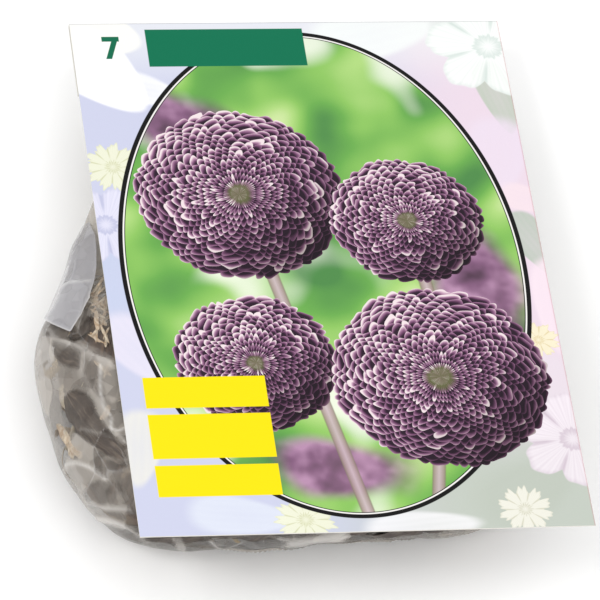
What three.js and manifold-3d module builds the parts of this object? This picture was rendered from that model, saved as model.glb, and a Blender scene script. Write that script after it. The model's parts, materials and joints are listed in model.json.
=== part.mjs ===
// A packet of flower bulbs, lying on its back: a stiff printed card, folded over along its top edge, carries a
// clear film bag. The bag is sealed flat under the fold and is filled with round bulbs in wood shavings.
// Millimetres, +Z up, +X along the card's width, +Y towards the card's folded top edge.
import * as THREE from "three";
import { mergeVertices } from "three/addons/utils/BufferGeometryUtils.js";
import Module from "manifold-3d";

const wasm = await Module();
wasm.setup();

// ---- Driving dimensions ----

const CARD_WIDTH = 148;
const CARD_LENGTH = 210;
const CARD_THICK = 0.5;
const CARD_TILT = THREE.MathUtils.degToRad(8); // the card lies on the bulbs, its folded edge the lower one
const FOLD_HEIGHT = 25; // of the card's front face at the fold, above the surface that the packet lies on
const FLAP_LENGTH = 30; // the part of the card that is folded over to the back
const TOUCHING_GAP = 0.15; // between pieces that touch
const GLUE_THICK = 0.2;
const GLUE_WIDTH = 12;
const GLUE_FROM_EDGE = 9; // from the fold to the strip's near side
const GLUE_SIDE_MARGIN = 8;

const FILM_THICK = 0.6;
const SEAL_THICK = 0.5; // the two films of the bag where they are sealed together
const SEAL_START = 3; // distances along the card, from the fold
const SEAL_END = 34;
const CAVITY_START = 56;
const FULL_START = 104; // from here the bag lies on the surface
const ROUND_START = 169.6; // from here the bag's lower end curves in
const ROUND_RADIUS = 23;
const SIDE_ROUNDNESS = 1.12; // how far a section's round sides reach, against half its thickness
const SIDE_INSET = 0.9;
const SIDE_STEPS = 14; // faces round each side of a section

// The bag's outline half way through its thickness: distance along the card, then x of each side, from the card's
// left edge. It bulges out past the card's left edge.
const LEFT_SIDE = [
  [SEAL_START, 4],
  [SEAL_END, 4],
  [60, 4],
  [69, 1.4],
  [79, -3.1],
  [88, -7],
  [97, -10.8],
  [108, -16],
  [115, -19.9],
  [124, -22.3],
  [135, -22.4],
  [151, -20.4],
  [164, -17.4],
  [171, -13.8],
  [177, -10],
  [181, -6.5],
  [185, -1],
  [188.5, 6],
  [192.6, 24],
];
const RIGHT_SIDE = [
  [SEAL_START, 144],
  [SEAL_END, 144],
  [60, 144.5],
  [80, 147],
  [100, 150],
  [125, 152.5],
  [150, 153],
  [165, 151],
  [173, 147],
  [179, 139.5],
  [183, 130],
  [186, 119],
  [189, 101],
  [192.6, 66],
];

const VENT_RADIUS = 3;
const VENT_DISTANCE = 72; // from the fold, along the card
const VENT_PLACES = [34, 74, 114];

const BULB_DIAMETER = 40;
const RESTING_GAP = 0.3;
// Each bulb's place: x from the card's left edge, y from the fold, its size against the diameter above, and the
// heading and pitch of its neck, in degrees.
const BULBS = [
  [4, -129, 0.96, 75, 8],
  [57, -129, 0.97, 110, 10],
  [108.5, -129, 0.97, 60, 6],
  [8.8, -167.9, 0.97, 60, 8],
  [48.8, -170.8, 1.0, 128, 5],
  [89, -169.8, 1.0, 101, 12],
  [127.3, -162.6, 0.94, 74, 8],
];
// A bulb's outline, against its radius: distance from its axis, then height along it.
const BULB_OUTLINE = [
  [0, -0.84],
  [0.2, -0.88],
  [0.34, -0.88],
  [0.4, -0.8],
  [0.66, -0.71],
  [0.88, -0.48],
  [0.985, -0.17],
  [0.98, 0.12],
  [0.88, 0.41],
  [0.66, 0.67],
  [0.4, 0.86],
  [0.2, 0.99],
  [0.13, 1.14],
  [0.1, 1.28],
  [0, 1.3],
];
const BULB_SIDES = 18;

const SHAVING_COUNT = 28;
const SHAVING_THICK = 0.6;
const SHAVING_STEPS = 11;
const SHAVING_GAP = 0.5;
const SHAVING_DROP = 0.5; // how far a shaving sinks at a time until it meets something
const RANDOM_SEED = 12;

// ---- Derived sizes ----

const FILM_TOP = CARD_THICK + TOUCHING_GAP + GLUE_THICK + TOUCHING_GAP; // depth behind the card's front face
const FLAP_DEPTH = FILM_TOP + SEAL_THICK + TOUCHING_GAP + GLUE_THICK + TOUCHING_GAP;
const FOLD_RADIUS = (FLAP_DEPTH + CARD_THICK) / 2;

// ---- Small helpers ----

/** A seeded random number from 0 to 1, the same ones on every run. */
function randomFrom(seed) {
  let state = seed;
  return () => {
    state = (state * 1664525 + 1013904223) % 4294967296;
    return state / 4294967296;
  };
}

/** A smooth curve through points of [position, value], as a function of position. */
function smoothThrough(points) {
  const last = points.length - 1;
  const slope = (i) => {
    const a = points[Math.max(i - 1, 0)];
    const b = points[Math.min(i + 1, last)];
    return (b[1] - a[1]) / (b[0] - a[0]);
  };
  return (position) => {
    const inside = THREE.MathUtils.clamp(position, points[0][0], points[last][0]);
    let i = 0;
    while (i < last - 1 && inside > points[i + 1][0]) i += 1;
    const span = points[i + 1][0] - points[i][0];
    const t = (inside - points[i][0]) / span;
    const start = points[i][1] * (1 + 2 * t) * (1 - t) ** 2 + slope(i) * span * t * (1 - t) ** 2;
    const end = points[i + 1][1] * t * t * (3 - 2 * t) - slope(i + 1) * span * t * t * (1 - t);
    return start + end;
  };
}

/** A closed geometry as a solid that can be joined and cut. */
function solidOf(geometry) {
  const bare = geometry.clone();
  bare.deleteAttribute("normal");
  bare.deleteAttribute("uv");
  const merged = mergeVertices(bare, 1e-4);
  const vertProperties = new Float32Array(merged.attributes.position.array);
  const triVerts = new Uint32Array(merged.index.array);
  return new wasm.Manifold(new wasm.Mesh({ numProp: 3, vertProperties, triVerts }));
}

/** A solid as a geometry. */
function geometryOf(solid) {
  const mesh = solid.getMesh();
  const geometry = new THREE.BufferGeometry();
  geometry.setAttribute("position", new THREE.BufferAttribute(mesh.vertProperties, 3));
  geometry.setIndex(new THREE.BufferAttribute(mesh.triVerts, 1));
  geometry.computeVertexNormals();
  return geometry;
}

/** A closed surface through rings of points, all of one length, with both ends filled by a fan. */
function loft(rings) {
  const count = rings[0].length;
  const positions = rings.flat().flatMap((point) => point.toArray());
  const faces = [];
  for (let ring = 0; ring < rings.length - 1; ring += 1) {
    for (let i = 0; i < count; i += 1) {
      const a = ring * count + i;
      const b = ring * count + ((i + 1) % count);
      faces.push(a, b, a + count, b, b + count, a + count);
    }
  }
  for (const [ring, turned] of [[0, false], [rings.length - 1, true]]) {
    const middle = positions.length / 3;
    const centre = new THREE.Vector3();
    rings[ring].forEach((point) => centre.addScaledVector(point, 1 / count));
    positions.push(...centre.toArray());
    for (let i = 0; i < count; i += 1) {
      const a = ring * count + i;
      const b = ring * count + ((i + 1) % count);
      if (turned) faces.push(a, b, middle);
      else faces.push(a, middle, b);
    }
  }
  const geometry = new THREE.BufferGeometry();
  geometry.setAttribute("position", new THREE.Float32BufferAttribute(positions, 3));
  geometry.setIndex(faces);
  geometry.computeVertexNormals();
  return geometry;
}

/** A named piece of one finish. */
function piece(name, geometry, color, roughness) {
  const material = new THREE.MeshStandardMaterial({ color, roughness, metalness: 0 });
  const mesh = new THREE.Mesh(geometry, material);
  mesh.name = name;
  return mesh;
}

// ---- The card: x along its width, y up to the fold, z out of its printed face ----

function foldedCard() {
  const outline = new THREE.Shape();
  // Drawn in the plane across the card's width: x is the distance from the fold, y the depth behind the face.
  outline.moveTo(CARD_LENGTH, 0);
  outline.lineTo(FOLD_RADIUS, 0);
  outline.absarc(FOLD_RADIUS, FOLD_RADIUS, FOLD_RADIUS, -Math.PI / 2, Math.PI / 2, true);
  outline.lineTo(FLAP_LENGTH, FLAP_DEPTH + CARD_THICK);
  outline.lineTo(FLAP_LENGTH, FLAP_DEPTH);
  outline.lineTo(FOLD_RADIUS, FLAP_DEPTH);
  outline.absarc(FOLD_RADIUS, FOLD_RADIUS, FOLD_RADIUS - CARD_THICK, Math.PI / 2, -Math.PI / 2, false);
  outline.lineTo(CARD_LENGTH, CARD_THICK);
  outline.closePath();
  const geometry = new THREE.ExtrudeGeometry(outline, {
    depth: CARD_WIDTH,
    bevelEnabled: false,
    curveSegments: 8,
  });
  geometry.applyMatrix4(
    new THREE.Matrix4().makeBasis(
      new THREE.Vector3(0, -1, 0),
      new THREE.Vector3(0, 0, -1),
      new THREE.Vector3(1, 0, 0),
    ),
  );
  return piece("printed_card", geometry, 0xdfe2ea, 0.35);
}

function glueStrip(name, depth) {
  const width = CARD_WIDTH - 2 * GLUE_SIDE_MARGIN;
  const geometry = new THREE.BoxGeometry(width, GLUE_WIDTH, GLUE_THICK);
  const strip = piece(name, geometry, 0xe8dfc2, 0.4);
  strip.position.set(CARD_WIDTH / 2, -GLUE_FROM_EDGE - GLUE_WIDTH / 2, -depth - GLUE_THICK / 2);
  return strip;
}

// ---- The bag ----

const leftSide = smoothThrough(LEFT_SIDE);
const rightSide = smoothThrough(RIGHT_SIDE);

/** Depth behind the card's face at which the surface under the packet lies. */
function surfaceDepth(along) {
  return (FOLD_HEIGHT + along * Math.sin(CARD_TILT)) / Math.cos(CARD_TILT);
}

/** The room that one section of the bag has, at a distance along the card. wall is 0 outside the film. */
function sectionRoom(along, wall) {
  const opening = THREE.MathUtils.smoothstep(along, SEAL_END, FULL_START);
  const sealBottom = FILM_TOP + SEAL_THICK;
  const back = THREE.MathUtils.lerp(sealBottom, surfaceDepth(along), opening);
  const turn = Math.max(along - ROUND_START, 0) / ROUND_RADIUS;
  const roundness = Math.sqrt(Math.max(1 - turn * turn, 0));
  const middle = (FILM_TOP + back) / 2;
  const half = ((back - FILM_TOP) / 2) * roundness - wall;
  const inset = wall > 0 ? SIDE_INSET : 0;
  const left = leftSide(along) + inset;
  const right = rightSide(along) - inset;
  return { centre: (left + right) / 2, reach: (right - left) / 2, middle, half };
}

/** One section's points in the card's axes: flat above and below, with round sides. */
function section(along, wall) {
  const room = sectionRoom(along, wall);
  const inwards = wall * Math.max(along - ROUND_START, 0) / ROUND_RADIUS;
  const side = room.half * SIDE_ROUNDNESS;
  const points = [];
  for (const end of [1, -1]) {
    for (let i = 0; i <= SIDE_STEPS; i += 1) {
      const angle = (Math.PI * i) / SIDE_STEPS - Math.PI / 2;
      const x = room.centre + end * (room.reach - side + side * Math.cos(angle));
      const rise = end * room.half * Math.sin(angle);
      points.push(new THREE.Vector3(x, inwards - along, rise - room.middle));
    }
  }
  return points;
}

/** Distances along the card at which the bag's sections stand. */
function bagStations(start) {
  const stations = [SEAL_START, SEAL_END, 41, 48, CAVITY_START, 63, 70, 77, 84, 91, 97, FULL_START];
  for (let along = 113; along < ROUND_START; along += 10) stations.push(along);
  for (const degrees of [0, 16, 32, 46, 58, 68, 77, 84]) {
    stations.push(ROUND_START + ROUND_RADIUS * Math.sin(THREE.MathUtils.degToRad(degrees)));
  }
  return stations.filter((along) => along >= start);
}

function filmBag() {
  const outside = solidOf(loft(bagStations(SEAL_START).map((along) => section(along, 0))));
  const inside = solidOf(loft(bagStations(CAVITY_START).map((along) => section(along, FILM_THICK))));
  let bag = outside.subtract(inside);
  for (const x of VENT_PLACES) {
    const depth = surfaceDepth(VENT_DISTANCE);
    const punch = new THREE.CylinderGeometry(VENT_RADIUS, VENT_RADIUS, depth, 12);
    punch.rotateX(Math.PI / 2);
    punch.translate(x, -VENT_DISTANCE, -sectionRoom(VENT_DISTANCE, 0).middle - depth / 2);
    bag = bag.subtract(solidOf(punch));
  }
  return piece("film_bag", geometryOf(bag), 0xb9b6b3, 0.25);
}

// ---- What is in the bag: x from the card's left edge, y from the fold, z up from the surface ----

function bulb(index) {
  const [x, y, share, heading, pitch] = BULBS[index];
  const radius = (BULB_DIAMETER / 2) * share;
  const outline = BULB_OUTLINE.map(([out, up]) => new THREE.Vector2(out * radius, up * radius));
  const geometry = new THREE.LatheGeometry(outline, BULB_SIDES);
  const mesh = piece(`bulb_${index + 1}`, geometry, 0x6b5548, 0.6);
  mesh.position.set(x, y, radius + FILM_THICK + RESTING_GAP);
  mesh.rotation.set(0, THREE.MathUtils.degToRad(90 - pitch), THREE.MathUtils.degToRad(heading), "ZYX");
  // The lathe's axis is y: this turns it to z first, so that pitch and heading aim the neck.
  mesh.quaternion.multiply(new THREE.Quaternion().setFromAxisAngle(new THREE.Vector3(1, 0, 0), Math.PI / 2));
  mesh.updateMatrix();
  return mesh;
}

/** Whether a point is inside a bulb, or nearer to it than gap. */
function meetsBulb(point, bulbs, gap) {
  const local = new THREE.Vector3();
  return bulbs.some((mesh, index) => {
    const radius = (BULB_DIAMETER / 2) * BULBS[index][2];
    local.copy(point).applyMatrix4(mesh.matrix.clone().invert());
    const up = local.y / radius;
    const out = Math.hypot(local.x, local.z) / radius;
    const near = gap / radius;
    const next = BULB_OUTLINE.findIndex(([, height], i) => i > 2 && height >= up);
    if (up < -0.88 - near || up > 1.3 + near) return false;
    const [width] = BULB_OUTLINE[Math.max(next, 3)] ?? BULB_OUTLINE.at(-1);
    const [before] = BULB_OUTLINE[Math.max(next, 3) - 1];
    return out < Math.max(width, before) + near;
  });
}

/** Whether a point is in the bag's cavity, at least gap clear of the film. */
function insideBag(point, gap) {
  const y = point.y * Math.cos(CARD_TILT) - (point.z - FOLD_HEIGHT) * Math.sin(CARD_TILT);
  const z = point.y * Math.sin(CARD_TILT) + (point.z - FOLD_HEIGHT) * Math.cos(CARD_TILT);
  if (-y < CAVITY_START + 10 || -y > ROUND_START + ROUND_RADIUS - 3) return false;
  const room = sectionRoom(-y, FILM_THICK + gap);
  const side = room.half * SIDE_ROUNDNESS;
  const over = Math.max(Math.abs(point.x - room.centre) + gap - (room.reach - side), 0);
  return room.half > 0 && Math.hypot(over / side, (-z - room.middle) / room.half) < 1;
}

/** A curled ribbon of wood: a spiral strip that widens from its inner end. */
function shavingShape(innerRadius, growth, turns, width) {
  const outline = new THREE.Shape();
  const edge = (step, offset) => {
    const angle = (2 * Math.PI * turns * step) / SHAVING_STEPS;
    const radius = innerRadius + (growth * angle) / (2 * Math.PI) + offset;
    return [radius * Math.cos(angle), radius * Math.sin(angle)];
  };
  outline.moveTo(...edge(0, 0));
  for (let step = 1; step <= SHAVING_STEPS; step += 1) outline.lineTo(...edge(step, 0));
  for (let step = SHAVING_STEPS; step >= 0; step -= 1) outline.lineTo(...edge(step, SHAVING_THICK));
  outline.closePath();
  const geometry = new THREE.ExtrudeGeometry(outline, { depth: width, bevelEnabled: false });
  return geometry.translate(0, 0, -width / 2);
}

/** Points all over a shaving, to try its place with. */
function tryPoints(geometry) {
  const corners = geometry.attributes.position;
  const points = [];
  for (let i = 0; i < corners.count; i += 1) {
    const corner = new THREE.Vector3().fromBufferAttribute(corners, i);
    points.push(corner);
    points.push(corner.clone().setZ(0));
  }
  return points;
}

/** Shavings dropped one by one into the room round the bulbs, each until it meets something. */
function shavings(bulbs) {
  const random = randomFrom(RANDOM_SEED);
  const between = (low, high) => low + (high - low) * random();
  const placed = [];
  const taken = [];
  const free = (points, offset) => points.every((point) => {
    const moved = point.clone().add(offset);
    const clear = insideBag(moved, SHAVING_GAP) && !meetsBulb(moved, bulbs, SHAVING_GAP);
    return clear && taken.every((other) => other.distanceToSquared(moved) > 3.2 ** 2);
  });
  for (let tries = 0; placed.length < SHAVING_COUNT && tries < 4000; tries += 1) {
    const geometry = shavingShape(between(2.2, 3.6), between(1.6, 2.4), between(0.8, 1.6), between(5, 9));
    const mesh = piece(`shaving_${placed.length + 1}`, geometry, 0xcdb894, 0.8);
    mesh.rotation.set(between(0, 2 * Math.PI), between(0, Math.PI), between(0, 2 * Math.PI));
    const points = tryPoints(geometry).map((point) => point.applyEuler(mesh.rotation));
    const offset = new THREE.Vector3(between(-22, 154), between(-194, -80), between(5, 45));
    if (!free(points, offset)) continue;
    const down = new THREE.Vector3(0, 0, -SHAVING_DROP);
    while (free(points, offset.clone().add(down))) offset.add(down);
    mesh.position.copy(offset);
    points.forEach((point) => taken.push(point.clone().add(offset)));
    placed.push(mesh);
  }
  return placed;
}

// ---- The whole packet ----

const onCard = new THREE.Group();
onCard.position.z = FOLD_HEIGHT;
onCard.rotation.x = -CARD_TILT;
onCard.add(foldedCard());
onCard.add(glueStrip("glue_strip_front", CARD_THICK + TOUCHING_GAP));
onCard.add(glueStrip("glue_strip_back", FILM_TOP + SEAL_THICK + TOUCHING_GAP));
onCard.add(filmBag());

const inBag = new THREE.Group();
const bulbs = BULBS.map((_, index) => bulb(index));
inBag.add(...bulbs);
inBag.add(...shavings(bulbs));

const packet = new THREE.Group();
packet.add(onCard);
packet.add(inBag);

// The origin is the middle of the packet's outline, on the surface that it lies on.
packet.updateMatrixWorld(true);
const extent = new THREE.Box3().setFromObject(packet, true);
const middle = extent.getCenter(new THREE.Vector3());
packet.position.set(-middle.x, -middle.y, 0);

export default packet;
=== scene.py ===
"""The looks of a flower bulb packet: a printed card with a clear film bag of bulbs and wood shavings behind it.

Sizes are in millimetres, in the card's own axes: x from its left edge to the right, along from its folded edge
down, and depth from its printed face backwards. CardPlane turns them into the packet's frame, in metres.
"""

import json
import logging
import math
from collections.abc import Callable, Sequence
from dataclasses import dataclass, field
from enum import Enum
from functools import cached_property
from typing import NamedTuple

import bmesh
import bpy
import numpy as np
from mathutils import Matrix, Vector, noise

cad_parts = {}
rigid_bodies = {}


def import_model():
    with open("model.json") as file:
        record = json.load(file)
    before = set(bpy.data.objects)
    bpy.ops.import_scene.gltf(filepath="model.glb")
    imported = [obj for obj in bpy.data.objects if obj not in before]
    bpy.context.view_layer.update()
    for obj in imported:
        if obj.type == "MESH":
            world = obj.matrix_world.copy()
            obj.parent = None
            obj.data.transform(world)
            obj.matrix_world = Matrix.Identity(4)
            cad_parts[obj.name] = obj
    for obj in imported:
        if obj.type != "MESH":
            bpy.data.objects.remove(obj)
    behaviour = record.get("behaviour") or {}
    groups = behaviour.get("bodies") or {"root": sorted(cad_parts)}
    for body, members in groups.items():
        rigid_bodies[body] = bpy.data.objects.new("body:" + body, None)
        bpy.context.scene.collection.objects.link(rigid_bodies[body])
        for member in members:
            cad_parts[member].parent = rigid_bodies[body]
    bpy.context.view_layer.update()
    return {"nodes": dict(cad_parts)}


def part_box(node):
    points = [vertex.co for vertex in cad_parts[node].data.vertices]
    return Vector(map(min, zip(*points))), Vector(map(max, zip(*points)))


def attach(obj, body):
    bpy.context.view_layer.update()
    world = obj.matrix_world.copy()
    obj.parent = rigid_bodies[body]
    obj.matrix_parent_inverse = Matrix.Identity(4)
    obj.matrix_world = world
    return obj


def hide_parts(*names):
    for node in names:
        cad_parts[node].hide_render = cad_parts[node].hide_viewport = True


for leftover in list(bpy.data.objects):
    bpy.data.objects.remove(leftover)
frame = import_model()

MM = 0.001
BODY = "root"
FAR = 1e3
EDGE_BLUR = 0.12
log = logging.getLogger("packet")

Array = np.ndarray
Material = bpy.types.Material
Piece = bpy.types.Object
Line = tuple[tuple[float, float], ...]
Triple = tuple[float, float, float]
Rgb = Triple
Input = "float | str | Sequence[float] | Signal"


class Slot(Enum):
    """The record's material slots."""

    CARD = "card"
    FILM = "film"
    SKIN = "bulb_skin"
    WOOD = "shaving"


# ---- Colours and shader maths ----


def ink(code: str) -> Rgb:
    """A colour written as six hexadecimal digits.

    Args:
        code: the colour's sRGB digits.

    Returns:
        The same colour in linear light.
    """
    parts = [int(code[i:i + 2], 16) / 255 for i in (0, 2, 4)]
    return tuple(p / 12.92 if p <= 0.04045 else ((p + 0.055) / 1.055) ** 2.4 for p in parts)


def ellipse_axes(middle: Sequence[float], heading: float, size: Sequence[float]) -> list[Triple]:
    """How to read a plane's point from a turned ellipse.

    Args:
        middle: the ellipse's middle.
        heading: how far it is turned, in degrees.
        size: its half length and half width.

    Returns:
        For the place along the ellipse and the place across it, each 1 at its edge: what to multiply the point's
        two distances with, and what to add.
    """
    c, s = math.cos(math.radians(heading)), math.sin(math.radians(heading))
    return [
        (a / reach, b / reach, -(middle[0] * a + middle[1] * b) / reach)
        for a, b, reach in ((c, s, size[0]), (-s, c, size[1]))
    ]


class Signal:
    """One output socket of a node tree, with shader maths as Python operators."""

    def __init__(self, graph: "Graph", socket: bpy.types.NodeSocket) -> None:
        """Wraps a socket of a graph."""
        self.graph = graph
        self.socket = socket

    def _is_vector(self, other: Input) -> bool:
        """Whether maths with the other input is vector maths."""
        return any(isinstance(s, Signal) and s.socket.type == "VECTOR" for s in (self, other))

    def combine(self, operation: str, first: Input, second: Input = 0.0, third: Input = 0.0) -> "Signal":
        """Adds one Math or Vector Math node.

        Args:
            operation: the node's operation.
            first: its first input.
            second: its second input.
            third: its third input, where the operation has one.

        Returns:
            The node's result.
        """
        kind = "ShaderNodeVectorMath" if self._is_vector(second) else "ShaderNodeMath"
        return self.graph.signal(kind, {"operation": operation}, {0: first, 1: second, 2: third})

    def __add__(self, other: Input) -> "Signal":
        """This plus the other."""
        return self.combine("ADD", self, other)

    def __radd__(self, other: Input) -> "Signal":
        """The other plus this."""
        return self.combine("ADD", self, other)

    def __sub__(self, other: Input) -> "Signal":
        """This less the other."""
        return self.combine("SUBTRACT", self, other)

    def __rsub__(self, other: float) -> "Signal":
        """The other less this."""
        return self.combine("SUBTRACT", other, self)

    def __mul__(self, other: Input) -> "Signal":
        """This times the other."""
        return self.combine("MULTIPLY", self, other)

    def __rmul__(self, other: Input) -> "Signal":
        """The other times this."""
        return self.combine("MULTIPLY", self, other)

    def __truediv__(self, other: Input) -> "Signal":
        """This over the other."""
        return self.combine("DIVIDE", self, other)

    def __pow__(self, other: Input) -> "Signal":
        """This to the other's power."""
        return self.combine("POWER", self, other)

    def __abs__(self) -> "Signal":
        """This without its sign."""
        return self.combine("ABSOLUTE", self)

    def __lt__(self, other: Input) -> "Signal":
        """1 where this is less than the other, otherwise 0."""
        return self.combine("LESS_THAN", self, other)

    def __gt__(self, other: Input) -> "Signal":
        """1 where this is greater than the other, otherwise 0."""
        return self.combine("GREATER_THAN", self, other)

    def lower(self, other: Input) -> "Signal":
        """The lower of this and the other."""
        return self.combine("MINIMUM", self, other)

    def higher(self, other: Input) -> "Signal":
        """The higher of this and the other."""
        return self.combine("MAXIMUM", self, other)

    def fraction(self) -> "Signal":
        """What this is above the whole number below it."""
        return self.combine("FRACT", self)

    def whole(self) -> "Signal":
        """The whole number below this."""
        return self.combine("FLOOR", self)

    def sine(self) -> "Signal":
        """This angle's sine."""
        return self.combine("SINE", self)

    def root(self) -> "Signal":
        """This number's square root."""
        return self.combine("SQRT", self)

    def step(self, start: Input, end: Input) -> "Signal":
        """A smooth rise from 0 where this is start to 1 where it is end."""
        settings = {"interpolation_type": "SMOOTHSTEP"}
        return self.graph.signal("ShaderNodeMapRange", settings, {0: self, 1: start, 2: end})

    def between(self, low: float, high: float) -> "Signal":
        """This number from 0 to 1, spread out from low to high and held between them."""
        return self.graph.signal("ShaderNodeMapRange", {}, {0: self, 3: low, 4: high})


class Graph:
    """One material's node tree, made from nothing."""

    MIX_FACTOR, MIX_A, MIX_B, MIX_RESULT = 0, 6, 7, 2
    OBJECT_PLACE, ATTRIBUTE_NUMBER, COLOUR = 3, 2, 1

    def __init__(self, name: str, tree: bpy.types.NodeTree | None = None) -> None:
        """Starts an empty material, or goes on with a tree that is given.

        Args:
            name: the material's name.
            tree: the tree, where there is one.
        """
        if tree is None:
            self.material = bpy.data.materials.new(name)
            self.material.use_nodes = True
            tree = self.material.node_tree
            tree.nodes.clear()
        self.tree = tree

    def add(self, kind: str, settings: dict | None = None, inputs: dict | None = None) -> bpy.types.Node:
        """Adds a node.

        Args:
            kind: the node's type.
            settings: its own settings, with a ramp's stops under "stops".
            inputs: numbers, vectors, signals or colours' six digits for its sockets, by name or place.

        Returns:
            The new node.
        """
        node = self.tree.nodes.new(kind)
        for key, value in (settings or {}).items():
            if key == "stops":
                self._set_stops(node.color_ramp, value)
            else:
                setattr(node, key, value)
        for key, value in (inputs or {}).items():
            if isinstance(value, str):
                value = ink(value)
            if isinstance(value, Signal):
                self.tree.links.new(value.socket, node.inputs[key])
            elif isinstance(key, str) or key < len(node.inputs):
                socket = node.inputs[key]
                if socket.type == "VECTOR" and isinstance(value, (int, float)):
                    value = (value,) * 3
                elif socket.type == "RGBA" and len(value) == 3:
                    value = (*value, 1.0)
                socket.default_value = value
        return node

    @staticmethod
    def _set_stops(ramp: bpy.types.ColorRamp, stops: Sequence[tuple[float, str | Rgb]]) -> None:
        """Gives a colour ramp its stops.

        Args:
            ramp: the ramp.
            stops: the places and colours of its stops.
        """
        while len(ramp.elements) < len(stops):
            ramp.elements.new(1.0)
        for element, (place, colour) in zip(ramp.elements, stops):
            element.position = place
            element.color = (*(ink(colour) if isinstance(colour, str) else colour), 1.0)

    def signal(self, kind: str, settings: dict | None = None, inputs: dict | None = None, out: int = 0) -> Signal:
        """Adds a node and gives one of its outputs."""
        return Signal(self, self.add(kind, settings, inputs).outputs[out])

    def mapped(self, name: str) -> Signal:
        """The surface's place on one of its mesh's maps."""
        return self.signal("ShaderNodeUVMap", {"uv_map": name})

    def painted(self, name: str) -> Signal:
        """A number that the mesh carries at each of its points."""
        return self.signal("ShaderNodeAttribute", {"attribute_name": name}, out=self.ATTRIBUTE_NUMBER)

    def nested(
        self, name: str, inputs: dict[str, Input], draw: "Callable[[Graph, dict[str, Signal]], Signal]"
    ) -> Signal:
        """Runs a part of the tree that is drawn once, as a group, and used many times.

        Args:
            name: the group's name.
            inputs: what it reads here: numbers, colours or signals, by name.
            draw: draws the group's inside from its inputs and gives its resulting colour.

        Returns:
            The group's result here.
        """
        group = bpy.data.node_groups.get(name)
        if group is None:
            group = bpy.data.node_groups.new(name, "ShaderNodeTree")
            for key, value in inputs.items():
                is_colour = value.socket.type == "RGBA" if isinstance(value, Signal) else isinstance(value, tuple)
                kind = "NodeSocketColor" if is_colour else "NodeSocketFloat"
                group.interface.new_socket(key, in_out="INPUT", socket_type=kind)
            group.interface.new_socket("result", in_out="OUTPUT", socket_type="NodeSocketColor")
            inside = Graph(name, group)
            start = inside.add("NodeGroupInput")
            result = draw(inside, {key: Signal(inside, start.outputs[key]) for key in inputs})
            inside.add("NodeGroupOutput", {}, {"result": result})
        return self.signal("ShaderNodeGroup", {"node_tree": group}, inputs)

    def place(self) -> Signal:
        """The point on the packet, in millimetres."""
        return self.signal("ShaderNodeTexCoord", out=self.OBJECT_PLACE) * (1 / MM)

    def split(self, vector: Signal) -> tuple[Signal, Signal, Signal]:
        """A vector's three parts."""
        node = self.add("ShaderNodeSeparateXYZ", {}, {0: vector})
        return tuple(Signal(self, out) for out in node.outputs)

    def join(self, x: Input, y: Input, z: Input = 0.0) -> Signal:
        """A vector of three parts."""
        return self.signal("ShaderNodeCombineXYZ", {}, {0: x, 1: y, 2: z})

    def flat_length(self, x: Signal, y: Signal) -> Signal:
        """How far a point of a plane is from the plane's middle."""
        return x.combine("MULTIPLY_ADD", x, x, y * y).root()

    def clouds(self, at: Signal, scale: float, detail: float = 2.0, rough: float = 0.5, bend: float = 0.0) -> Signal:
        """Soft noise from 0 to 1, with scale features to the unit."""
        return self.signal(
            "ShaderNodeTexNoise", {},
            {"Vector": at, "Scale": scale, "Detail": detail, "Roughness": rough, "Distortion": bend},
        )

    def facets(self, at: Signal, scale: float, smooth: float) -> Signal:
        """Random tones in cells that run into each other a little, with scale cells to the unit."""
        inputs = {"Vector": at, "Scale": scale, "Smoothness": smooth}
        return self.signal("ShaderNodeTexVoronoi", {"feature": "SMOOTH_F1"}, inputs, self.COLOUR)

    def cell_edges(self, at: Signal, scale: float) -> Signal:
        """How far a point is from the edge of its cell, with scale cells to the unit."""
        return self.signal("ShaderNodeTexVoronoi", {"feature": "DISTANCE_TO_EDGE"}, {"Vector": at, "Scale": scale})

    def blend(self, factor: Input, under: Input, over: Input, way: str = "MIX") -> Signal:
        """One colour over another.

        Args:
            factor: how much of the upper colour shows.
            under: the lower colour.
            over: the upper colour.
            way: the Mix node's blend type.

        Returns:
            The mixed colour.
        """
        settings = {"data_type": "RGBA", "blend_type": way}
        inputs = {self.MIX_FACTOR: factor, self.MIX_A: under, self.MIX_B: over}
        return self.signal("ShaderNodeMix", settings, inputs, self.MIX_RESULT)

    def ramp(self, factor: Signal, stops: Sequence[tuple[float, str | Rgb]]) -> Signal:
        """A colour that goes through stops as factor goes from 0 to 1."""
        return self.signal("ShaderNodeValToRGB", {"stops": stops}, {0: factor})

    def bump(self, height: Signal, distance: float, strength: float = 1.0, under: Signal | None = None) -> Signal:
        """A normal from a height.

        Args:
            height: the height, in units of distance.
            distance: the height of 1, in millimetres.
            strength: how much of the bump is seen.
            under: another bump's normal, which this one is laid on.

        Returns:
            The new normal.
        """
        inputs = {"Height": height, "Distance": distance * MM, "Strength": strength}
        if under is not None:
            inputs["Normal"] = under
        return self.signal("ShaderNodeBump", {}, inputs)

    def finish(self, **inputs: Input) -> Material:
        """Closes the tree with one shader.

        Args:
            inputs: values for the shader's sockets, named with underscores for spaces.

        Returns:
            The finished material.
        """
        shader = self.add("ShaderNodeBsdfPrincipled", {}, {k.replace("_", " "): v for k, v in inputs.items()})
        self.add("ShaderNodeOutputMaterial", {}, {"Surface": Signal(self, shader.outputs[0])})
        return self.material


# ---- The packet's own geometry ----


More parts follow.
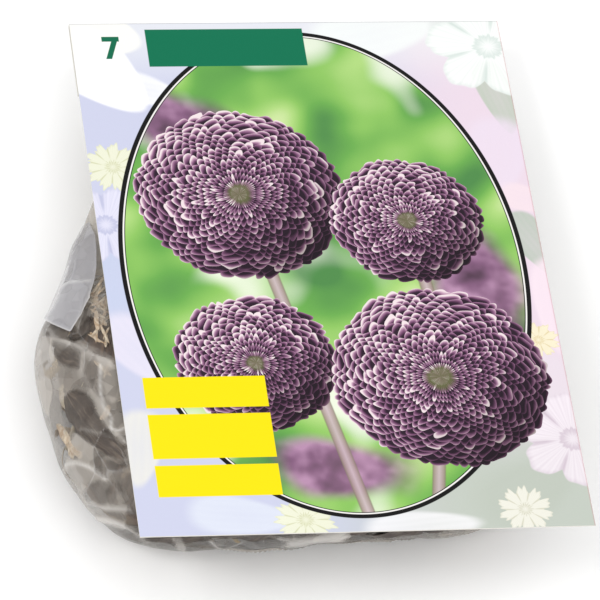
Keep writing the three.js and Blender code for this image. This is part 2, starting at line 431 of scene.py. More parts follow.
@dataclass(frozen=True)
class CardPlane:
    """Where the card lies: turns the card's own axes into the packet's frame."""

    length: float = 210.0
    width: float = 148.0
    thick: float = 0.5
    tilt: float = math.radians(8)
    fold_height: float = 25.0

    @cached_property
    def corner(self) -> tuple[float, float]:
        """The frame's x of the card's left edge and y of its folded edge, in metres, from the CAD's own box."""
        low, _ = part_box("printed_card")
        reach = self.length * math.cos(self.tilt) + self.thick * math.sin(self.tilt)
        return low.x, low.y + reach * MM

    def points(self, x: Array, along: Array, depth: Array) -> Array:
        """Points of the frame, in metres.

        Args:
            x: distances from the card's left edge.
            along: distances from its fold.
            depth: distances behind its printed face.

        Returns:
            An array with a last axis of x, y and z.
        """
        left, fold = self.corner
        x, along, depth = np.broadcast_arrays(x, along, depth)
        y = -along * math.cos(self.tilt) - depth * math.sin(self.tilt)
        z = self.fold_height + along * math.sin(self.tilt) - depth * math.cos(self.tilt)
        return np.stack([left + x * MM, fold + y * MM, z * MM], axis=-1)

    def read(self, points: Array) -> tuple[Array, Array, Array]:
        """Turns points of the frame back into the card's axes.

        Args:
            points: the points, in metres.

        Returns:
            Their x, along and depth.
        """
        left, fold = self.corner
        x = (points[..., 0] - left) / MM
        y = (points[..., 1] - fold) / MM
        z = points[..., 2] / MM - self.fold_height
        along = -y * math.cos(self.tilt) + z * math.sin(self.tilt)
        depth = -y * math.sin(self.tilt) - z * math.cos(self.tilt)
        return x, along, depth


def smooth_through(points: Sequence[tuple[float, float]], position: Array) -> Array:
    """A smooth curve through points of position and value.

    Args:
        points: the points, in the order of their positions.
        position: where the curve is wanted.

    Returns:
        The curve's values there.
    """
    at, value = np.array(points, float).T
    before = np.maximum(np.arange(len(at)) - 1, 0)
    after = np.minimum(np.arange(len(at)) + 1, len(at) - 1)
    slope = (value[after] - value[before]) / (at[after] - at[before])
    inside = np.clip(position, at[0], at[-1])
    i = np.clip(np.searchsorted(at, inside) - 1, 0, len(at) - 2)
    span = at[i + 1] - at[i]
    t = (inside - at[i]) / span
    start = value[i] * (1 + 2 * t) * (1 - t) ** 2 + slope[i] * span * t * (1 - t) ** 2
    return start + value[i + 1] * t * t * (3 - 2 * t) - slope[i + 1] * span * t * t * (1 - t)


def rise(value: Array, start: float, end: float) -> Array:
    """A smooth rise from 0 at start to 1 at end."""
    t = np.clip((value - start) / (end - start), 0, 1)
    return t * t * (3 - 2 * t)


@dataclass(frozen=True)
class BagRoom:
    """The bag's smooth shape, before its folds: the same one as in the solids."""

    plane: CardPlane = CardPlane()
    film_top: float = 1.0
    seal_thick: float = 0.5
    seal_start: float = 3.0
    seal_end: float = 34.0
    full_start: float = 104.0
    round_start: float = 169.6
    round_radius: float = 23.0
    side_roundness: float = 1.12
    left_side: Line = (
        (3, 4), (34, 4), (60, 4), (69, 1.4), (79, -3.1), (88, -7), (97, -10.8), (108, -16), (115, -19.9),
        (124, -22.3), (135, -22.4), (151, -20.4), (164, -17.4), (171, -13.8), (177, -10), (181, -6.5), (185, -1),
        (188.5, 6), (192.6, 24),
    )
    right_side: Line = (
        (3, 144), (34, 144), (60, 144.5), (80, 147), (100, 150), (125, 152.5), (150, 153), (165, 151),
        (173, 147), (179, 139.5), (183, 130), (186, 119), (189, 101), (192.6, 66),
    )

    def section(self, along: Array, wall: float = 0.0) -> tuple[Array, Array, Array, Array]:
        """The room of sections across the bag.

        Args:
            along: their distances from the card's fold.
            wall: how far inside the bag's outer surface.

        Returns:
            Their centre and reach across the card, and the middle and half of their depth.
        """
        plane = self.plane
        under = (plane.fold_height + along * math.sin(plane.tilt)) / math.cos(plane.tilt)
        opening = rise(along, self.seal_end, self.full_start)
        back = (self.film_top + self.seal_thick) * (1 - opening) + under * opening
        turn = np.clip((along - self.round_start) / self.round_radius, 0, 1)
        half = (back - self.film_top) / 2 * np.sqrt(1 - turn * turn) - wall
        left = smooth_through(self.left_side, along) + wall
        right = smooth_through(self.right_side, along) - wall
        return (left + right) / 2, (right - left) / 2, (self.film_top + back) / 2, half

    def on_left(self, along: Array, wrap: Array, lift: Array, least_depth: float) -> Array:
        """Points on the bag's left side.

        Args:
            along: their distances from the card's fold.
            wrap: how far round the bag they are from where its flat top starts to turn down.
            lift: how far they stand out from the bag's smooth shape.
            least_depth: how far behind the card's printed face they are at least.

        Returns:
            The points, in the frame.
        """
        centre, reach, middle, half = self.section(along)
        side = half * self.side_roundness
        turn = np.maximum(wrap, 0) / ((side + half) / 2) - math.pi / 2
        x = centre - (reach - side) - (side + lift) * np.cos(turn) - np.minimum(wrap, 0)
        return self.plane.points(x, along, np.maximum(middle + (half + lift) * np.sin(turn), least_depth))

    def holds(self, points: Array, gap: float) -> Array:
        """Whether points are inside the bag.

        Args:
            points: points of the frame.
            gap: how far inside the film they have to be.

        Returns:
            True or False for each.
        """
        x, along, depth = self.plane.read(points)
        centre, reach, middle, half = self.section(along, gap)
        half = np.maximum(half, 1e-6)
        side = half * self.side_roundness
        over = np.maximum(np.abs(x - centre) - (reach - side), 0)
        inside = np.hypot(over / side, (depth - middle) / half) < 1
        ends = (along > self.seal_end + 20) & (along < self.round_start + self.round_radius - gap - 2)
        return inside & ends & (half > 0.5)


@dataclass(frozen=True)
class BulbPlace:
    """One bulb: where it rests, its size and the way that its neck points."""

    number: int
    x: float
    y: float
    share: float
    heading: float
    pitch: float
    diameter: float = 40.0
    clear: float = 0.9

    @property
    def radius(self) -> float:
        """The bulb's radius."""
        return self.diameter / 2 * self.share

    @cached_property
    def matrix(self) -> Matrix:
        """The bulb's place in the frame: its neck is along z in its own axes, in millimetres."""
        left, fold = CardPlane().corner
        at = Vector((left + self.x * MM, fold + self.y * MM, (self.radius + self.clear) * MM))
        turn = Matrix.Rotation(math.radians(self.heading), 4, "Z")
        lean = Matrix.Rotation(math.radians(90 - self.pitch), 4, "Y")
        return Matrix.Translation(at) @ turn @ lean @ Matrix.Scale(MM, 4)

    def read(self, points: Array) -> Array:
        """Points of the frame in the bulb's own axes."""
        back = np.array(self.matrix.inverted())
        return points @ back[:3, :3].T + back[:3, 3]

    def write(self, points: Array) -> Array:
        """Points in the bulb's own axes, in the frame."""
        out = np.array(self.matrix)
        return points @ out[:3, :3].T + out[:3, 3]


BULBS = tuple(
    BulbPlace(number + 1, *values)
    for number, values in enumerate((
        (4, -129, 0.96, 75, 8), (57, -129, 0.97, 110, 10), (108.5, -129, 0.97, 60, 6), (8.8, -167.9, 0.97, 60, 8),
        (48.8, -170.8, 1.0, 128, 5), (89, -169.8, 1.0, 101, 12), (127.3, -162.6, 0.94, 74, 8),
    ))
)
BULB_OUTLINE = (
    (0, -0.84), (0.2, -0.88), (0.34, -0.88), (0.4, -0.8), (0.66, -0.71), (0.88, -0.48), (0.985, -0.17),
    (0.98, 0.12), (0.88, 0.41), (0.66, 0.67), (0.4, 0.86), (0.2, 0.99), (0.13, 1.14), (0.1, 1.28), (0, 1.3),
)


def bulb_reach(polar: Array) -> Array:
    """How far a bulb reaches from its middle.

    Args:
        polar: angles from its neck.

    Returns:
        The reach at each angle, in radii.
    """
    out, up = np.array(BULB_OUTLINE).T
    angle = np.arctan2(out, up)
    order = np.argsort(angle)
    return np.interp(polar, angle[order], np.hypot(out, up)[order])


def outside_bulbs(points: Array, gap: float) -> tuple[Array, Array]:
    """Moves points out of the bulbs.

    Args:
        points: points of the frame.
        gap: how far outside the bulbs' skins they have to be.

    Returns:
        The moved points, and how far each is from the nearest bulb's skin, in millimetres.
    """
    moved = points.copy()
    nearest = np.full(points.shape[:-1], 1e3)
    for place in BULBS:
        local = place.read(moved)
        far = np.linalg.norm(local, axis=-1)
        polar = np.arctan2(np.hypot(local[..., 0], local[..., 1]), local[..., 2])
        skin = bulb_reach(polar) * place.radius
        nearest = np.minimum(nearest, far - skin)
        push = np.maximum((skin + gap) / np.maximum(far, 1e-6), 1)
        moved = np.where((push > 1)[..., None], place.write(local * push[..., None]), moved)
    return moved, nearest


# ---- Meshes ----


def show(thing: Piece) -> Piece:
    """Puts an object in the scene."""
    bpy.context.scene.collection.objects.link(thing)
    return thing


def make_piece(
    name: str,
    points: Array,
    faces: Sequence[Sequence[int]],
    material: Material,
    slot: Slot,
    stands_for: Sequence[str] = (),
) -> Piece:
    """Makes one piece of the packet.

    Args:
        name: the piece's name.
        points: its points, in the frame.
        faces: the places of each face's points.
        material: its finish.
        slot: not used.
        stands_for: the CAD nodes that it replaces.

    Returns:
        The new object, riding on the packet.
    """
    mesh = bpy.data.meshes.new(name)
    mesh.from_pydata(np.asarray(points).reshape(-1, 3).tolist(), [], [list(face) for face in faces])
    mesh.validate()
    mesh.shade_smooth()
    mesh.materials.append(material)
    piece = show(bpy.data.objects.new(name, mesh))
    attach(piece, BODY)
    if stands_for:
        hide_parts(*stands_for)
    log.info("%s: %d faces", name, len(mesh.polygons))
    return piece


def grid_faces(rows: int, columns: int, closed: bool = False) -> list[tuple[int, int, int, int]]:
    """The faces between neighbouring rows of points.

    Args:
        rows: how many rows there are.
        columns: how many points each row has.
        closed: whether each row's last point joins its first.

    Returns:
        Four places of points for each face.
    """
    across = columns if closed else columns - 1
    faces = []
    for row in range(rows - 1):
        for i in range(across):
            j = (i + 1) % columns
            faces.append((row * columns + i, row * columns + j, (row + 1) * columns + j, (row + 1) * columns + i))
    return faces


def join_grids(grids: Sequence[Array]) -> tuple[Array, list[tuple[int, ...]]]:
    """Joins grids of points that are all of one size.

    Args:
        grids: each grid's points, by row and column.

    Returns:
        The points in one list, and the faces of all the grids.
    """
    rows, columns = grids[0].shape[:2]
    starts = [i * rows * columns for i in range(len(grids))]
    faces = [tuple(start + place for place in face) for start in starts for face in grid_faces(rows, columns)]
    return np.concatenate([grid.reshape(-1, 3) for grid in grids]), faces


def thicken(piece: Piece, thick: float) -> None:
    """Gives a thin piece its thickness, in millimetres."""
    piece.modifiers.new("thick", "SOLIDIFY").thickness = thick * MM


def grid_normals(grid: Array) -> Array:
    """The outward directions of a grid of points whose rows are closed.

    Args:
        grid: the points, by row and column.

    Returns:
        A unit normal for each point.
    """
    down = np.gradient(grid, axis=0)
    round_it = np.roll(grid, -1, axis=1) - np.roll(grid, 1, axis=1)
    normal = np.cross(round_it, down)
    return normal / np.maximum(np.linalg.norm(normal, axis=-1, keepdims=True), 1e-12)


# ---- Finishes ----


class Spot(NamedTuple):
    """A point of the card's print: the material's graph, and how far across the card and down it the point is."""

    graph: Graph
    x: Signal
    y: Signal


class PrintedShape:
    """A kind of shape of the card's print, whose draw() is run once and used for the values() of each shape."""

    def paint(self, spot: Spot, under: Signal) -> Signal:
        """Prints the shape.

        Args:
            spot: the point.
            under: the colours printed so far.

        Returns:
            The colours with the shape over them.
        """
        inputs = {"x": spot.x, "y": spot.y, "under": under, **self.values()}
        return spot.graph.nested(type(self).__name__.lower(), inputs, self.draw)


@dataclass(frozen=True)
class Blossom(PrintedShape):
    """A printed pompon blossom: rings of pointed petals round a tight middle."""

    x: float
    y: float
    radius: float
    petals: int
    rings: int
    turn: float

    def values(self) -> dict[str, Input]:
        """The blossom's place and sizes."""
        return {
            "middle_x": self.x, "middle_y": self.y, "scale": 1 / self.radius, "petals": float(self.petals),
            "rings": float(self.rings), "turn": self.turn,
        }

    @staticmethod
    def draw(graph: Graph, value: dict[str, Signal]) -> Signal:
        """The blossom over the colours under it.

        Args:
            graph: the graph that it is drawn in.
            value: what it reads there.

        Returns:
            The colours with the blossom.
        """
        turn = value["turn"]
        across = (value["x"] - value["middle_x"]) * value["scale"]
        down = (value["y"] - value["middle_y"]) * value["scale"]
        wobble = (across * 7 + down * 4 + turn * 40).sine() + (down * 9 - across * 5 + turn * 90).sine()
        ripple = (across * 23 - down * 17 + turn * 70).sine() + (across * 15 + down * 27).sine()
        out = graph.flat_length(across, down) + wobble * 0.012 + ripple * 0.006
        angle = across.combine("ARCTAN2", down, across) * (1 / (2 * math.pi)) + turn
        spread = (angle + wobble * 0.006 + ripple * 0.003) * value["petals"]
        ring = out.higher(0.0) ** 1.25 * value["rings"]
        layers = []
        for layer in (0, 1):
            side = (spread + layer * 0.5).fraction() - 0.5
            tip = side * side * -4 + 1
            fall = (ring + layer) * 0.5 - tip * 0.36
            layers.append((side, fall.fraction(), fall.whole() * 2 - layer))
        (side_a, part_a, order_a), (side_b, part_b, order_b) = layers
        upper = part_b > part_a
        part = part_a.higher(part_b)
        side = side_a + (side_b - side_a) * upper
        order = order_a + (order_b - order_a) * upper
        which = (spread + upper * 0.5).whole()
        luck = ((which * 12.9898 + order * 78.233 + turn * 9).sine() * 4375.85).fraction()
        bright = part.between(-1.0, 0.95) + luck * 0.55 - 0.27 - abs(side) * 0.42 + luck.step(0.93, 0.97) * 0.3
        bright = bright + (across * -0.18 - down * 0.22)
        colour = graph.ramp(
            bright,
            [(0.0, "2b1a2a"), (0.2, "4a2c45"), (0.42, "754b6c"), (0.62, "9b6f8f"),
             (0.82, "c7a3b8"), (1.0, "efdfe2")],
        )
        shade = (across * 0.7 + down * 0.75).step(0.0, 1.15)
        colour = graph.blend(shade * 0.62, colour, "55513c", "MULTIPLY")
        colour = graph.blend(out.step(0.16, 0.08) * 0.7, colour, "6f7446")
        cover = order < value["rings"] - 1.5
        return graph.blend(cover, value["under"], colour)


@dataclass(frozen=True)
class Petal(PrintedShape):
    """A large soft shape of the card's border: an ellipse with a soft edge."""

    x: float
    y: float
    long: float
    wide: float
    heading: float
    colour: str
    strength: float = 0.8
    soft: float = 0.1

    def values(self) -> dict[str, Input]:
        """The ellipse's axes, colour and edge."""
        values = {"colour": ink(self.colour), "strength": self.strength, "soft": self.soft}
        axes = ellipse_axes((self.x, self.y), self.heading, (self.long, self.wide))
        for name, numbers in zip(("to", "side"), axes):
            values.update(zip((f"{name}_x", f"{name}_y", f"{name}_start"), numbers))
        return values

    @staticmethod
    def draw(graph: Graph, value: dict[str, Signal]) -> Signal:
        """The petal over the colours under it.

        Args:
            graph: the graph that it is drawn in.
            value: what it reads there.

        Returns:
            The colours with the petal.
        """
        x, y = value["x"], value["y"]
        along = x * value["to_x"] + y * value["to_y"] + value["to_start"]
        across = x * value["side_x"] + y * value["side_y"] + value["side_start"]
        reach = graph.flat_length(along, across * (along * 0.45 + 1.0))
        cover = reach.step(1.0, 1.0 - value["soft"])
        veins = (across * 19 + (along * 3).sine()).sine()
        fade = reach.between(0.78, 1.0) + veins * 0.035
        return graph.blend(cover * fade * value["strength"], value["under"], value["colour"])


@dataclass(frozen=True)
class Rosette(PrintedShape):
    """A pale flower of the card's border, with one ring of frilled petals."""

    x: float
    y: float
    radius: float
    petals: int
    colour: str = "f1f2d8"
    shade: str = "c9cb9e"
    frill: float = 0.22
    turn: float = 0.0

    def values(self) -> dict[str, Input]:
        """The flower's place, sizes and colours."""
        return {
            "middle_x": self.x, "middle_y": self.y, "scale": 1 / self.radius, "petals": float(self.petals),
            "frill": self.frill, "turn": self.turn, "colour": ink(self.colour), "shade": ink(self.shade),
        }

    @staticmethod
    def draw(graph: Graph, value: dict[str, Signal]) -> Signal:
        """The flower over the colours under it.

        Args:
            graph: the graph that it is drawn in.
            value: what it reads there.

        Returns:
            The colours with the flower.
        """
        across = (value["x"] - value["middle_x"]) * value["scale"]
        down = (value["y"] - value["middle_y"]) * value["scale"]
        angle = across.combine("ARCTAN2", down, across) + value["turn"]
        lobes = angle * value["petals"]
        frill = (lobes * 3.1).sine() * 0.5 + (lobes * 1.9 + value["middle_x"]).sine() * 0.5
        out = graph.flat_length(across, down) + frill * (value["frill"] * 0.3)
        side = abs((lobes * (1 / (2 * math.pi))).fraction() - 0.5)
        outline = out + side * side * 1.1
        cover = outline.step(1.0, 0.95) * 0.88
        streaks = (lobes * 7 + out * 3).sine() * 0.5 + (lobes * 11.3).sine() * 0.5
        vein = (side.step(0.36, 0.5) * out.step(0.2, 0.5)).higher(outline.step(0.86, 1.0) * 0.6)
        middle = out.step(0.26, 0.2) * out.step(0.02, 0.22)
        tone = (vein.higher(middle) * 0.75 + streaks * 0.16 + 0.1).between(0.0, 1.0)
        pale = graph.blend(cover, value["under"], value["colour"])
        return graph.blend(cover * tone, pale, value["shade"])


@dataclass(frozen=True)
class Plate:
    """A bare printed plate of one colour, with straight edges."""

    left: float
    top: float
    right: float
    bottom: float
    colour: str

    def paint(self, spot: Spot, under: Signal) -> Signal:
        """Prints the plate.

        Args:
            spot: the point.
            under: the colours printed so far.

        Returns:
            The colours with the plate over them.
        """
        wide, high = (self.right - self.left) / 2, (self.bottom - self.top) / 2
        over = (abs(spot.x - (self.left + wide)) - wide).higher(abs(spot.y - (self.top + high)) - high)
        return spot.graph.blend(over.step(EDGE_BLUR, -EDGE_BLUR), under, self.colour)


@dataclass(frozen=True)
class CardPrint:
    """The card's printed side: an oval picture of blossoms in a soft floral border, under a clear gloss."""

    oval_x: float = 73.8
    oval_y: float = 104.95
    oval_wide: float = 66.65
    oval_high: float = 98.7
    line_wide: float = 1.35
    ink_strength: float = 0.9
    stems: tuple[Triple, ...] = ((106, 150, -0.16), (49, 74, 0.2), (104, 86, 0.1))
    far_blooms: tuple = (((30, 44), 30, (30, 15)), ((122, 112), 70, (30, 17)), ((70, 186), 10, (24, 12)))
    blossoms: tuple[Blossom, ...] = (
        Blossom(106, 150, 35, 46, 17, 0.11),
        Blossom(49, 74, 34, 44, 16, 0.43),
        Blossom(104, 86, 25, 38, 13, 0.27),
        Blossom(46, 143, 26, 40, 13, 0.8),
    )
    petals: tuple[Petal, ...] = (
        Petal(8, 22, 22, 13, 50, "ffffff", 0.92, 0.12),
        Petal(2, 2, 24, 14, 20, "fbfaf3", 0.9, 0.12),
        Petal(24, 30, 14, 7, 20, "ffffff", 0.75, 0.3),
        Petal(104, 6, 26, 12, -12, "f2f6f4", 0.9, 0.3),
        Petal(136, 10, 18, 10, 70, "e2e8e5", 0.85, 0.25),
        Petal(143, 34, 17, 6, 80, "b9c6b4", 0.85, 0.12),
        Petal(139, 60, 20, 11, 100, "e9dbea", 0.9, 0.3),
        Petal(147, 78, 12, 6, 20, "f2dfe6", 0.9, 0.3),
        Petal(146, 97, 16, 6.5, 65, "b7c3b5", 0.9, 0.12),
        Petal(150, 122, 22, 9, 95, "f4e2ec", 0.9, 0.2),
        Petal(138, 158, 22, 14, 110, "e6dbe4", 0.85, 0.4),
        Petal(4, 104, 26, 11, 96, "c3cde6", 0.7, 0.5),
        Petal(7, 137, 18, 9, 60, "e9e3f1", 0.8, 0.3),
        Petal(4, 176, 17, 8, 100, "eceadf", 0.8, 0.25),
        Petal(34, 203, 20, 8, 8, "dfe4f0", 0.85, 0.3),
        Petal(92, 209, 22, 7, -4, "f3f2f4", 0.85, 0.3),
        Petal(128, 196, 24, 14, -30, "b9c0b4", 0.6, 0.5),
    )
    rosettes: tuple[Rosette, ...] = (
        Rosette(143, 12, 22, 6, "fafcfa", "cfdcd6", 0.1, 0.3),
        Rosette(146, 176, 19, 6, "f2e9f0", "c9b9c6", 0.1, 0.1),
        Rosette(3, 86, 17, 6, "e6e4f4", "b4b7d6", 0.1, 0.55),
        Rosette(8, 62, 10, 11, frill=0.34),
        Rosette(13, 113, 6.5, 9, "f4f1e0", "d2c9a4", 0.34),
        Rosette(54, 205, 10, 11, frill=0.34),
        Rosette(141, 136, 7, 9, "f6efcf", "d8c48c", 0.34),
        Rosette(126, 203, 9, 10, "f3f1e6", "c8c6ae", 0.34),
    )
    plates: tuple[Plate, ...] = (
        Plate(25.3, 3.4, 79.4, 19.5, "00714f"),
        Plate(7.8, 148.2, 47.9, 160.4, "f8e200"),
        Plate(7.8, 162.9, 47.9, 180.3, "f8e200"),
        Plate(7.8, 182.9, 47.9, 195.1, "f8e200"),
    )

    @staticmethod
    def _sheet(graph: Graph, layer: float = 0.0) -> Signal:
        """The point on the unfolded card, in millimetres, on one of many layers of noise."""
        scale = (CardPlane().width, CardPlane().length, 1)
        inputs = {"Vector": graph.mapped("sheet"), "Location": (0, 0, layer), "Scale": scale}
        return graph.signal("ShaderNodeMapping", {}, inputs)

    def _border(self, spot: Spot) -> Signal:
        """The pastel ground: lilac at the left, pink at the right, grey-green below.

        Args:
            spot: the point.

        Returns:
            The border's colours.
        """
        graph, x, y = spot
        drift = graph.clouds(self._sheet(graph), 0.022, 3.0) - 0.5
        colour = graph.blend((x + drift * 60).step(70, 138), "cbcee5", "e8d6e3")
        colour = graph.blend((y + drift * 40).step(140, 186) * x.step(40, 110), colour, "c0c7bd")
        colour = graph.blend(y.step(34, 2) * 0.6, colour, "f0f2f1")
        for flower in (*self.petals, *self.rosettes):
            colour = flower.paint(spot, colour)
        return colour

    def _garden(self, spot: Spot) -> Signal:
        """The picture's ground: a garden far out of focus.

        Args:
            spot: the point.

        Returns:
            The garden's colours.
        """
        graph, x, y = spot
        leaves = graph.clouds(self._sheet(graph, 3.0), 0.034, 1.2, 0.4)
        colour = graph.ramp(
            leaves,
            [(0.3, "4f8a4a"), (0.43, "6bab50"), (0.52, "8cc360"), (0.62, "aed67e"),
             (0.74, "d8e8ae")],
        )
        haze = graph.clouds(self._sheet(graph, 19.0), 0.03, 1.0)
        colour = graph.blend(haze.step(0.56, 0.7) * 0.85, colour, "f1f5e6")
        mauve = graph.ramp(
            graph.clouds(self._sheet(graph, 7.0), 0.09, 2.0),
            [(0.3, "4d2c48"), (0.5, "86587f"), (0.68, "b98ab0")],
        )
        for far_bloom in self.far_blooms:
            along, across = (x * a + y * b + c for a, b, c in ellipse_axes(*far_bloom))
            cover = (graph.flat_length(along, across) + (haze - 0.5) * 1.2).step(1.15, 0.6)
            colour = graph.blend(cover * 0.95, colour, mauve)
        return colour

    def _stems(self, spot: Spot, under: Signal) -> Signal:
        """The blossoms' stems, before the blossoms are printed over them.

        Args:
            spot: the point.
            under: the colours printed so far.

        Returns:
            The colours with the stems over them.
        """
        graph, x, y = spot
        for foot, top, slope in self.stems:
            centre = (y - top) * slope + foot
            across = abs(x - centre)
            cover = across.step(2.5, 1.9) * (y > float(top))
            colour = graph.ramp(across * 0.4, [(0.0, "c9b3bb"), (0.6, "a7908f"), (1.0, "6d6a4c")])
            under = graph.blend(cover * 0.9, under, colour)
        return under

    def _framed(self, spot: Spot, border: Signal, picture: Signal) -> Signal:
        """The picture in the border, with the oval's black and white lines.

        Args:
            spot: the point.
            border: the colours outside the oval.
            picture: the colours inside it.

        Returns:
            The colours of both.
        """
        graph, x, y = spot
        across, down = x - self.oval_x, y - self.oval_y
        out = graph.flat_length(across * (1 / self.oval_wide), down * (1 / self.oval_high))
        lean = graph.flat_length(across * self.oval_wide ** -2, down * self.oval_high ** -2)
        away = (out - 1) * out / lean.higher(1e-5)
        black = abs(away - self.line_wide * 0.35).step(self.line_wide * 0.65 + 0.1, self.line_wide * 0.65 - 0.1)
        white = abs(away + self.line_wide * 0.32).step(0.34, 0.18)
        thin = abs(away + self.line_wide * 0.62).step(0.24, 0.1)
        colour = graph.blend(away.step(0.1, -0.1), border, picture)
        colour = graph.blend(black.higher(thin), colour, "0c0b0c")
        return graph.blend(white, colour, "f4f1ee")

    def _numeral(self, spot: Spot, under: Signal) -> Signal:
        """The plain count numeral, a seven.

        Args:
            spot: the point.
            under: the colours printed so far.

        Returns:
            The colours with the numeral over them.
        """
        graph, x, y = spot
        bar = (abs(x - 13.15) - 2.95).higher(abs(y - 7.45) - 1.05)
        leg = (abs(x - (y - 6.4) * -0.33 - 15.1) - 1.0).higher(abs(y - 11.2) - 4.8)
        return graph.blend(bar.lower(leg).step(EDGE_BLUR, -EDGE_BLUR), under, "0a6a4c")

    def material(self) -> Material:
        """Makes the print's material.

        Returns:
            The material.
        """
        graph = Graph("card_print")
        x, y, _ = graph.split(self._sheet(graph))
        spot = Spot(graph, x, y)
        picture = self._stems(spot, self._garden(spot))
        for blossom in self.blossoms[1:]:
            picture = blossom.paint(spot, picture)
        colour = self._framed(spot, self._border(spot), picture)
        for shape in (self.blossoms[0], *self.plates):
            colour = shape.paint(spot, colour)
        colour = self._numeral(spot, colour)
        # Painted shade: a grey band along the top of the printed side, where the sheet turns over the fold's crease.
        colour = graph.blend(y.step(0.95, 0.65) * 0.55, colour, "77777b")
        colour = graph.blend(x.step(147.5, 147.9) * 0.5, colour, "c98f92")
        colour = graph.blend(y.step(-1.2, -2.0), colour, "f2f2ef")
        fibre = graph.clouds(graph.place(), 2.6, 4.0, 0.6)
        colour = graph.blend(0.1, colour, graph.ramp(fibre, [(0.3, (0.75,) * 3), (0.7, (1.0,) * 3)]), "MULTIPLY")
        colour = graph.blend(1.0, colour, (self.ink_strength,) * 3, "MULTIPLY")
        rough = fibre.between(0.34, 0.46)
        normal = graph.bump(fibre + graph.clouds(graph.place(), 0.05, 1.0) * 3, 0.02, 0.5)
        return graph.finish(Base_Color=colour, Roughness=rough, Normal=normal, Specular_IOR_Level=0.15)


@dataclass(frozen=True)
class CardStock:
    """The card's unprinted side and its cut edges."""

    pale: str = "e9e7e1"
    dark: str = "cfccc4"

    def material(self) -> Material:
        """Makes the bare card's material.

        Returns:
            The material.
        """
        graph = Graph("card_stock")
        at = graph.place()
        fibre = graph.clouds(at, 1.8, 5.0, 0.65, 0.6)
        fleck = graph.clouds(at, 6.0, 2.0).step(0.62, 0.72)
        colour = graph.blend(fibre, self.dark, self.pale)
        colour = graph.blend(fleck * 0.35, colour, "a9a296")
        normal = graph.bump(fibre, 0.04, 0.6)
        return graph.finish(Base_Color=colour, Roughness=fibre.between(0.6, 0.85), Normal=normal)


@dataclass(frozen=True)
class ClearFilm:
    """Crinkled clear film: milky where it is slack, clear where it lies on a bulb, with painted white highlights
    along its sharp folds and fine creases.
    """

    name: str = "clear_film"
    pale: str = "b6afa6"
    grey: str = "7f7870"
    clear: float = 0.1
    milky: float = 0.84
    crease_glints: float = 0.4
    bend: float = 7.0
    facet_scale: float = 0.085

    def material(self) -> Material:
        """Makes the film's material.

        Returns:
            The material.
        """
        graph = Graph(self.name)
        at = graph.place()
        drift = graph.signal("ShaderNodeTexNoise", {}, {"Vector": at, "Scale": 0.06, "Detail": 2.0}, graph.COLOUR)
        bent = at + drift * self.bend
        stretched = bent * graph.join(1.0, 0.62, 1.0)
        tone = graph.facets(stretched, self.facet_scale, 0.1) * 0.7 + graph.facets(bent, 0.2, 0.12) * 0.3
        milk, rim = graph.painted("milk"), graph.painted("rim")
        edge = graph.cell_edges(stretched, self.facet_scale)
        # Painted highlights: thin white glints along some cell edges and along the sharp folds, where the film is
        # also made opaque.
        crease_glint = edge.step(0.022, 0.0) * graph.clouds(at, 0.06, 1.0).step(0.56, 0.66) * self.crease_glints
        bright = rim.higher(crease_glint)
        cloud = ((tone - 0.5) * 0.75 + milk).between(0.0, 1.0)
        alpha = (cloud * (self.milky - self.clear) + self.clear).higher(bright * 0.85)
        colour = graph.blend((tone * 0.6 + milk * 0.5).step(0.25, 0.85), self.grey, self.pale)
        colour = graph.blend(bright * 0.75, colour, "f2f0ee")
        fine = graph.clouds(bent, 0.4, 3.0, 0.55)
        normal = graph.bump(fine, 0.3, 0.35, graph.bump(tone, 2.6, 0.5))
        rough = cloud.between(0.1, 0.26)
        return graph.finish(Base_Color=colour, Alpha=alpha, Roughness=rough, Normal=normal, IOR=1.5)


@dataclass(frozen=True)
class BulbSkin:
    """A bulb's dry papery skin: brown, with fine ribs from base to neck."""

    dark: str = "2c1f1a"
    mid: str = "4a3830"
    pale: str = "77604e"

    def material(self) -> Material:
        """Makes the skin's material.

        Returns:
            The material.
        """
        graph = Graph("bulb_skin")
        across, up, _ = graph.split(graph.mapped("skin"))
        ribs = graph.clouds(graph.join(across * 90, up * 3.0), 1.0, 3.0, 0.6, 0.2)
        patch = graph.clouds(graph.place(), 0.11, 4.0, 0.6)
        tone = ribs * 0.5 + patch * 0.6
        colour = graph.ramp(tone, [(0.35, self.dark), (0.52, self.mid), (0.68, self.pale)])
        worn = graph.clouds(graph.join(across * 14, up * 4.0, 2.0), 1.0, 4.0, 0.6).step(0.6, 0.68)
        colour = graph.blend(worn * 0.6, colour, "a08a6c")
        colour = graph.blend(up.step(0.12, 0.02) * 0.8, colour, "8a7a62")
        normal = graph.bump(ribs + worn * 0.6, 0.25, 0.8)
        return graph.finish(Base_Color=colour, Roughness=ribs.between(0.4, 0.7), Normal=normal)


@dataclass(frozen=True)
class LooseSkinAndShade:
    """Large torn pieces of a bulb's outer skin: dark, dry and ribbed along their length. They also stand in, as
    painted shade, for the shadow inside the bag.
    """

    dark: str = "2b2420"
    mid: str = "473c35"
    pale: str = "776a5e"

    def material(self) -> Material:
        """Makes the loose skins' material.

        Returns:
            The material.
        """
        graph = Graph("loose_skin_and_shade")
        across, along, _ = graph.split(graph.mapped("skin"))
        ribs = graph.clouds(graph.join(across * 16, along * 1.6), 1.0, 4.0, 0.6, 0.4)
        grain = graph.clouds(graph.place(), 0.16, 4.0, 0.6)
        tone = ribs * 0.55 + grain * 0.5
        colour = graph.ramp(tone, [(0.36, self.dark), (0.54, self.mid), (0.7, self.pale)])
        normal = graph.bump(ribs, 0.3, 0.7)
        return graph.finish(Base_Color=colour, Roughness=ribs.between(0.4, 0.7), Normal=normal)


